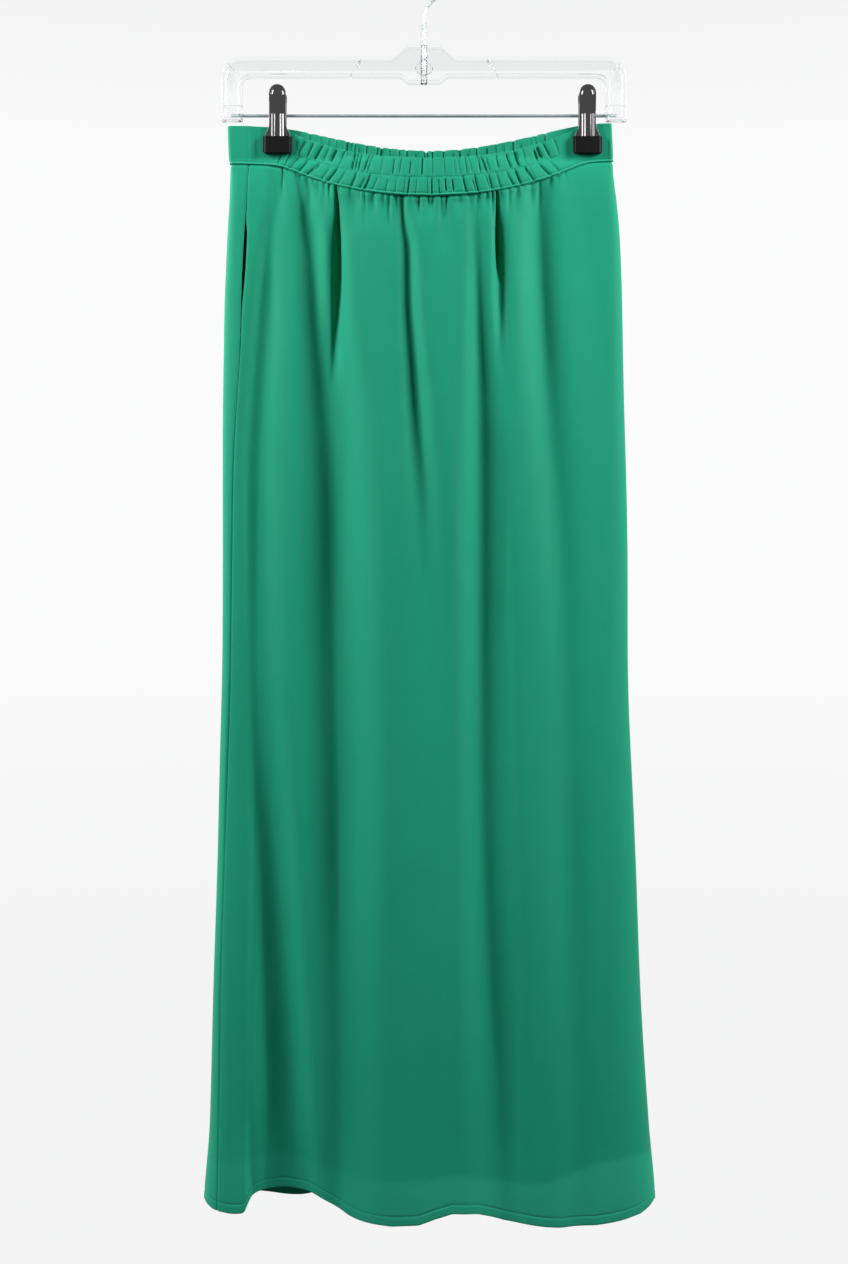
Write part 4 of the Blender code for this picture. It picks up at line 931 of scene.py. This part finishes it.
def add_room():
    """Surroundings that are dark on the camera's side and white behind the skirt."""
    world = bpy.data.worlds.new("studio")
    bpy.context.scene.world = world
    world.use_nodes = True
    tree = world.node_tree
    where = node(tree, "ShaderNodeTexCoord", "Generated")
    away = node(tree, "ShaderNodeSeparateXYZ", "Y", {0: where})
    tones = ramp(tree, away, [(at, (tone, tone, tone)) for at, tone in ROOM_TONES])
    plug(tree, tree.nodes["Background"], {"Color": tones})
    bpy.context.scene.view_settings.view_transform = "Standard"


def add_lights():
    plated = [o for o in bpy.data.objects if o.name.startswith("clip_") and "chrome" in o.name]
    backs = [bpy.data.objects[f"{name}_back_cloth"] for name in ("skirt", "waistband")]
    for side, x in (("left", -LAMP_SIDE), ("right", LAMP_SIDE)):
        front, behind = (x, LAMP_FRONT, LAMP_HEIGHT), (0.93 * x, LAMP_BACK, LAMP_HEIGHT)
        link_light(add_light(side, front, LAMP_SIZE, FRONT_POWER), plated, "EXCLUDE")
        link_light(add_light(f"{side}_behind", behind, LAMP_SIZE, BACK_POWER), backs, "INCLUDE")
        link_light(add_light(f"{side}_card", front, CARD_SIZE, CARD_POWER), plated, "INCLUDE")


# ---------------- the hanger's materials
Grain = namedtuple("Grain", "scale detail rough strength deep")


def grained(name, look, grain):
    """A material with a fine grain in its surface, and the grain's value for its other inputs."""
    made, tree, shader = finish(name, look)
    where = node(tree, "ShaderNodeTexCoord", "Object")
    value = noise(tree, where, grain.scale, grain.detail, grain.rough)
    plug(tree, shader, {"Normal": bump(tree, value, grain.strength, grain.deep)})
    return made, tree, shader, value


def metal(name, colour, rough, scale, deep):
    """Plated or drawn steel, with uneven gloss."""
    look = {"Metallic": 1.0, "Base Color": (*colour, 1.0)}
    made, tree, shader, grain = grained(name, look, Grain(scale, 4.0, 0.7, 0.5, deep))
    gloss = {"Value": grain, "To Min": rough * 0.6, "To Max": rough * 1.5}
    plug(tree, shader, {"Roughness": node(tree, "ShaderNodeMapRange", 0, gloss)})
    return made


def clear_material():
    look = {"Roughness": 0.0, "IOR": 1.46, "Transmission Weight": 1.0}
    look["Base Color"] = (0.985, 0.992, 0.995, 1.0)
    return grained("clear_plastic", look, Grain(60.0, 1.0, 0.5, 0.02, 0.0001))[0]


def rubber_material():
    look = {"Roughness": 0.5, "Specular IOR Level": 0.18}
    made, tree, shader, grain = grained("clip_rubber", look, Grain(2600.0, 3.0, 0.5, 0.25, 0.00005))
    blacks = [(0.0, (0.0045, 0.0045, 0.005)), (1.0, (0.009, 0.009, 0.0095))]
    plug(tree, shader, {"Base Color": ramp(tree, grain, blacks)})
    return made


CHROME = metal("clip_chrome", (0.74, 0.72, 0.73), 0.07, 1600.0, 0.00003)
STEEL = metal("steel_wire", (0.8, 0.9, 0.92), 0.5, 900.0, 0.00001)
CLEAR, RUBBER = clear_material(), rubber_material()


# ---------------- the hanger's meshes
def solid(name, points, faces, material, flat_faces=(), degrees=42.0):
    """A closed mesh from points in millimetres, smooth but for its sharp edges and its flat faces."""
    mesh = bpy.data.meshes.new(name)
    mesh.from_pydata((np.array(points, float) * MM).tolist(), [], [list(f) for f in faces])
    mesh.shade_smooth()
    for k in flat_faces:
        mesh.polygons[k].use_smooth = False
    mesh.set_sharp_from_angle(angle=math.radians(degrees))
    mesh.materials.append(material)
    return link(name, mesh)


def rings_mesh(rings, closed=False):
    """Points and faces of a tube of rings that all have as many points; its ends are capped."""
    count = len(rings[0])
    points = [p for ring in rings for p in ring]
    faces = []
    for k in range(len(rings) if closed else len(rings) - 1):
        low, high = k * count, (k + 1) % len(rings) * count
        for j in range(count):
            after = (j + 1) % count
            faces.append((low + j, low + after, high + after, high + j))
    if not closed:
        faces.append(tuple(range(count - 1, -1, -1)))
        faces.append(tuple(range(len(points) - count, len(points))))
    return points, faces


def joined(parts):
    """Several (points, faces) as one."""
    points, faces = [], []
    for more, its_faces in parts:
        faces += [tuple(k + len(points) for k in face) for face in its_faces]
        points += list(more)
    return points, faces


Corner = namedtuple("Corner", "x height radius")
BODY_RIGHT = [
    Corner(17.0, -75.0, 6.0),
    Corner(29.5, -86.2, 6.0),
    Corner(180.8, -86.2, 18.0),
    Corner(180.8, -143.8, 1.5),
    Corner(162.0, -143.8, 1.0),
    Corner(162.0, -104.5, 8.0),
    Corner(21.0, -104.5, 6.0),
    Corner(15.0, -110.3, 6.0),
]
BODY_OUTLINE = BODY_RIGHT + [Corner(-c.x, c.height, c.radius) for c in reversed(BODY_RIGHT)]
# The rim's cross-section, from the web's front to its back: how far in from the outline, and its Y.
RIM_FRONT = [(3.9, -0.9), (3.6, -1.1), (3.45, -1.6), (3.4, -2.05), (3.1, -2.4)]
RIM_FRONT += [(2.7, -2.5), (0.9, -2.5), (0.3, -2.3), (0.0, -1.8)]
RIM = RIM_FRONT + [(inset, -y) for inset, y in reversed(RIM_FRONT)]


def rounded_ring(corners, inset, y, steps=7):
    """A ring of points at one Y, inside a clockwise outline by a distance, with its corners rounded."""
    ring = []
    for k, corner in enumerate(corners):
        before, after = corners[k - 1], corners[(k + 1) % len(corners)]
        a = math.atan2(corner.height - before.height, corner.x - before.x)
        b = math.atan2(after.height - corner.height, after.x - corner.x)
        turn = math.remainder(b - a, 2 * math.pi)
        side = a + turn / 2 - math.pi / 2
        far = inset / math.cos(turn / 2)
        x, z = corner.x + far * math.cos(side), corner.height + far * math.sin(side)
        bend = 1.0 if turn > 0 else -1.0
        radius = max(0.25, corner.radius + bend * inset)
        middle = radius / math.cos(turn / 2)
        out = side if turn < 0 else side + math.pi
        mx, mz = x + middle * math.cos(out), z + middle * math.sin(out)
        for step in range(steps + 1):
            t = a + turn * step / steps - bend * math.pi / 2
            ring.append((mx + radius * math.cos(t), y, mz + radius * math.sin(t)))
    return ring


def rounded_box(low, high, bevel, lean=0.0):
    """A box with rounded long edges, leaning in the hanger's plane, as rings along Z."""
    mx, mz = (low[0] + high[0]) / 2, (low[2] + high[2]) / 2
    rings = []
    half_x, half_y = (high[0] - low[0]) / 2, (high[1] - low[1]) / 2
    for z, shrink in ((low[2], bevel), (low[2] + bevel, 0.0), (high[2] - bevel, 0.0), (high[2], bevel)):
        ring = []
        for quarter, (sx, sy) in enumerate(((1, 1), (-1, 1), (-1, -1), (1, -1))):
            for step in range(5):
                t = math.radians(90 * quarter + 90 * step / 4)
                x = sx * (half_x - bevel) + (bevel - shrink) * math.cos(t)
                y = sy * (half_y - bevel) + (bevel - shrink) * math.sin(t)
                ring.append((x, y, z - mz))
        rings.append(ring)
    a = math.radians(lean)
    turned = []
    for ring in rings:
        turned.append([])
        for x, y, z in ring:
            across, up = x * math.cos(a) + z * math.sin(a), z * math.cos(a) - x * math.sin(a)
            turned[-1].append((mx + across, y, mz + up))
    return rings_mesh(turned)


def lathe(profile, centre, axis, sides=32):
    """A closed profile of (radius, along) turned round an axis through a centre."""
    rings = []
    for k in range(sides):
        t = 2 * math.pi * k / sides
        ring = []
        for radius, along in profile:
            a, b = radius * math.cos(t), radius * math.sin(t)
            ring.append({"x": (along, a, b), "y": (b, along, a), "z": (a, b, along)}[axis])
        rings.append([tuple(c + o for c, o in zip(centre, p)) for p in ring])
    return rings_mesh(rings, closed=True)


RIB_HALF, RIB_DEEP, RIB_BEVEL = 0.8, 1.9, 0.4
BOSS_HEIGHT = -95.5
BOSS_HALF = [(6.6, -2.2), (7.6, -2.2), (8.0, -1.8)]  # radius and Y, from its front to its middle
SLEEVE_HALF = [(1.8, -56.0), (2.6, -56.0), (2.9, -56.4)]  # radius and height, from its top down
SLEEVE_MIDDLE = -82.9


def rib(middle, low, high, lean):
    """A thin upright rib of the web, leaning to one side."""
    start, stop = (middle - RIB_HALF, -RIB_DEEP, low), (middle + RIB_HALF, RIB_DEEP, high)
    return rounded_box(start, stop, RIB_BEVEL, lean)


def mirrored(profile, middle=0.0):
    return profile + [(radius, 2 * middle - along) for radius, along in reversed(profile)]


def add_hanger_body():
    capped = [rings_mesh([rounded_ring(BODY_OUTLINE, inset, y) for inset, y in RIM])]
    for sign in (-1, 1):
        low, high = sorted((sign * 163.2, sign * 179.6))
        capped.append(rounded_box((low, -2.3, -142.6), (high, 2.3, -129.0), 0.6))
        capped.append(rib(sign * 61.0, -104.0, -86.7, -sign * 34.0))
        capped.append(rib(sign * 169.5, -104.5, -89.5, sign * 45.0))
    ends = accumulate(len(faces) for _, faces in capped)
    caps = [end - back for end in ends for back in (2, 1)]
    boss = lathe(mirrored(BOSS_HALF), (0, 0, BOSS_HEIGHT), "y", 40)
    sleeve = lathe(mirrored(SLEEVE_HALF, SLEEVE_MIDDLE), (0, 0, 0), "z", 32)
    body = solid("hanger_clear", *joined([*capped, boss, sleeve]), CLEAR, flat_faces=caps)
    stand_for(body, "hanger_body")


# ---------------- the clips
BAR_HEIGHT = -138.4
PlateRow = namedtuple("PlateRow", "height out half")
PLATE = [
    PlateRow(-112.6, 9.7, 7.6),
    PlateRow(-116.0, 9.2, 7.6),
    PlateRow(-132.0, 6.2, 7.6),
    PlateRow(-139.0, 5.6, 7.6),
    PlateRow(-147.0, 5.6, 7.6),
    PlateRow(-151.0, 5.5, 8.6),
    PlateRow(-157.4, 5.4, 11.3),
    PlateRow(-160.0, 5.4, 11.3),
]
PLATE_TOP, PLATE_ROUND, PLATE_THICK, EDGE_ROUND = -112.6, 7.6, 1.1, 0.55
PLATE_LEVELS = np.concatenate(
    [PLATE_TOP - PLATE_ROUND * (np.linspace(0.04, 1, 26) ** 1.6), np.linspace(-120.6, -160.0, 74)]
)
EAR_HOLE, EAR_HALF_THICK, EAR_TO_PLATE, EAR_TO_MIDDLE, EAR_UP = 1.85, 0.5, 4.8, 3.0, 4.2
DOME_HEIGHT, DOME_RADIUS, DOME_RISE = -121.8, 6.2, 2.5
FLUTES, FLUTE_HALF, FLUTE_RISE, FLUTE_TOP = (-3.6, 3.9), 1.5, 1.32, -137.2
PAD_HALF, PAD_TOP, PAD_BOTTOM, PAD_CORNER, PAD_NEAR, PAD_DEPTH = 13.15, -158.0, -173.2, 2.6, 3.05, 4.0
PAD_LEVELS = np.concatenate(
    [
        PAD_TOP - 1.2 * np.linspace(0, 1, 7) ** 1.5,
        np.linspace(PAD_TOP - 1.5, PAD_BOTTOM + 3.0, 34),
        PAD_BOTTOM + PAD_CORNER * (1 - np.linspace(0, 0.97, 16)),
    ]
)
DIMPLE_HEIGHT = -168.4
SPRING_TURNS, SPRING_HALF, SPRING_RADIUS, SPRING_WIRE = 7, 3.9, 2.9, 0.48


def dense_ends(count, near, close):
    """Places from -1 to 1, a part of them close to both ends."""
    inner = np.linspace(-1 + near, 1 - near, count)
    edge = near * (np.linspace(0, 1, close) ** 1.5)
    return np.concatenate([-1 + edge[:-1], inner, (1 - edge[:-1])[::-1]])


def face_grid(x, z, rise, back, shrink):
    """A closed plate from the places of its front's grid, how far each stands out, and its flat back."""
    rows, columns = x.shape
    front = np.stack([x, -rise, z], axis=2)
    middle_z = (z[0, 0] + z[-1, 0]) / 2
    behind = np.stack([x * shrink, -back, middle_z + (z - middle_z) * shrink], axis=2)
    number = np.arange(rows * columns).reshape(rows, columns)
    quads = cells(number)
    rim = np.concatenate([number[0, :-1], number[:-1, -1], number[-1, :0:-1], number[:0:-1, 0]])
    total = rows * columns
    faces = [tuple(q) for q in quads] + [tuple(q[::-1] + total) for q in quads]
    for k in range(len(rim)):
        a, b = rim[k], rim[(k + 1) % len(rim)]
        faces.append((a, b, b + total, a + total))
    return np.concatenate([front.reshape(-1, 3), behind.reshape(-1, 3)]), faces


def round_edge(distance, radius):
    """How far a rounded edge falls back at a distance from the outline."""
    left = np.clip(radius - distance, 0.0, radius)
    return radius - np.sqrt(radius**2 - left**2)


def clip_face(name, points, faces, material, middle, sign):
    """A plate or pad in its place: its own Y points out of the clip, to the front or to the back."""
    points = np.array(points) * np.array([1.0, -sign, 1.0]) + np.array([middle, 0.0, 0.0])
    if sign > 0:
        faces = [face[::-1] for face in faces]
    return solid(name, points, faces, material)


def ear_mesh(at):
    """An ear that the bar goes through: square where it meets the plate, round elsewhere."""
    rings = []
    for t in np.radians(360 * np.arange(32) / 32):
        c, d = math.cos(t), math.sin(t)
        reach = 1 / math.hypot(c / EAR_TO_MIDDLE, d / EAR_UP)
        if c < 0:
            reach = min(EAR_TO_PLATE / max(-c, 1e-6), EAR_UP / max(abs(d), 1e-6))
        ring = []
        for side, radius in ((-1, EAR_HOLE), (-1, reach), (1, reach), (1, EAR_HOLE)):
            ring.append((at + side * EAR_HALF_THICK, radius * c, BAR_HEIGHT + radius * d))
        rings.append(ring)
    return rings_mesh(rings, closed=True)


def add_plate(name, node_name, middle, sign, ear):
    z = PLATE_LEVELS
    round_from = PLATE_TOP - PLATE_ROUND
    cap = np.clip((z - round_from) / PLATE_ROUND, 0.0, 1.0)
    half = blended(PLATE, "half", z) * np.sqrt(1.0 - cap**2) + 1e-3
    x = half[:, None] * dense_ends(56, 0.14, 7)[None, :]
    zz = np.broadcast_to(z[:, None], x.shape)
    round_gap, side_gap = PLATE_ROUND - np.hypot(x, zz - round_from), half[:, None] - np.abs(x)
    to_edge = np.where(zz > round_from, round_gap, side_gap)
    out = np.broadcast_to(blended(PLATE, "out", z)[:, None], x.shape)
    dome_off = np.hypot(x, zz - DOME_HEIGHT) / DOME_RADIUS
    ball = (DOME_RADIUS**2 + DOME_RISE**2) / (2 * DOME_RISE)
    from_axis = np.clip(dome_off, 0, 1) * DOME_RADIUS
    dome = np.sqrt(np.clip(ball**2 - from_axis**2, 0, None)) - (ball - DOME_RISE)
    flutes = sum(bell((x - at) / FLUTE_HALF) for at in FLUTES) * FLUTE_RISE
    flutes = flutes * eased((FLUTE_TOP - zz) / 0.9) * eased((zz + 161.0) / 1.2)
    crown = 0.35 * (1.0 - (x / 8.0) ** 2)
    rise = out + crown + np.where(dome_off < 1, dome, 0.0) + flutes - round_edge(to_edge, EDGE_ROUND)
    face = face_grid(x, zz, rise, out - PLATE_THICK - 0.6, 0.97)
    plate = clip_face(name, *joined([face, ear_mesh(-ear), ear_mesh(ear)]), CHROME, middle, sign)
    stand_for(plate, node_name)


def add_pad(name, node_name, middle, sign):
    z = PAD_LEVELS
    low = np.clip((PAD_BOTTOM + PAD_CORNER - z) / PAD_CORNER, 0.0, 1.0)
    half = PAD_HALF - PAD_CORNER + PAD_CORNER * np.sqrt(1.0 - low**2)
    x = half[:, None] * dense_ends(70, 0.08, 7)[None, :]
    zz = np.broadcast_to(z[:, None], x.shape)
    corner_x = np.maximum(np.abs(x) - (PAD_HALF - PAD_CORNER), 0)
    in_corner = np.hypot(corner_x, np.maximum(PAD_BOTTOM + PAD_CORNER - zz, 0))
    to_edge = np.minimum(PAD_CORNER - in_corner, PAD_TOP - zz + 0.25)
    step = 0.55 * eased((np.abs(x) - (PAD_HALF - 2.5)) / 1.0)
    dimple = np.hypot(x, (zz - DIMPLE_HEIGHT) * 1.3)
    mark = 0.28 * bell(dimple / 0.8) - 0.12 * bell((dimple - 1.6) / 0.5)
    crown = 0.25 * (1.0 - (x / PAD_HALF) ** 2)
    fall = round_edge(np.clip(to_edge, 0, None), 0.8)
    rise = PAD_NEAR + PAD_DEPTH - 0.25 + crown - step - mark - fall
    face = face_grid(x, zz, rise, np.full(x.shape, PAD_NEAR), 0.98)
    pad = clip_face(name, *face, RUBBER, middle, sign)
    stand_for(pad, node_name)


def tube(route, radius, sides=10):
    route = np.array(route, float)
    along = np.gradient(route, axis=0)
    along /= np.linalg.norm(along, axis=1)[:, None]
    side = np.cross(along, (0.0, 0.13, 1.0))
    side /= np.linalg.norm(side, axis=1)[:, None]
    up = np.cross(side, along)
    turns = np.linspace(0, 2 * math.pi, sides + 1)[:-1]
    rings = []
    for p, a, b in zip(route, side, up):
        rings.append([tuple(p + radius * (math.cos(t) * a + math.sin(t) * b)) for t in turns])
    return rings_mesh(rings)


def add_spring(name, node_name, middle):
    turns = np.linspace(0, SPRING_TURNS * 2 * math.pi, SPRING_TURNS * 24)
    x = middle - SPRING_HALF + 2 * SPRING_HALF * turns / turns[-1]
    y, z = SPRING_RADIUS * np.cos(turns), BAR_HEIGHT + SPRING_RADIUS * np.sin(turns)
    coil = solid(name, *tube(np.stack([x, y, z], axis=1), SPRING_WIRE, 8), STEEL)
    stand_for(coil, node_name)


def add_clips():
    for side, middle in (("left", CLIP_LEFT), ("right", CLIP_RIGHT)):
        for face, sign, ear in (("front", -1, 6.6), ("rear", 1, 5.3)):
            add_plate(f"clip_{side}_chrome_{face}", f"clip_{side}_plate_{face}", middle, sign, ear)
            add_pad(f"clip_{side}_rubber_{face}", f"clip_{side}_pad_{face}", middle, sign)
        add_spring(f"clip_{side}_coil", f"clip_{side}_spring", middle)


add_skirt()
add_waistband()
add_lining()
add_pocket()
add_stage()
add_hanger_body()
add_clips()
for name in ("hook", "clip_bar"):
    for slot in frame["nodes"][name].material_slots:
        slot.material = STEEL
add_room()
add_lights()
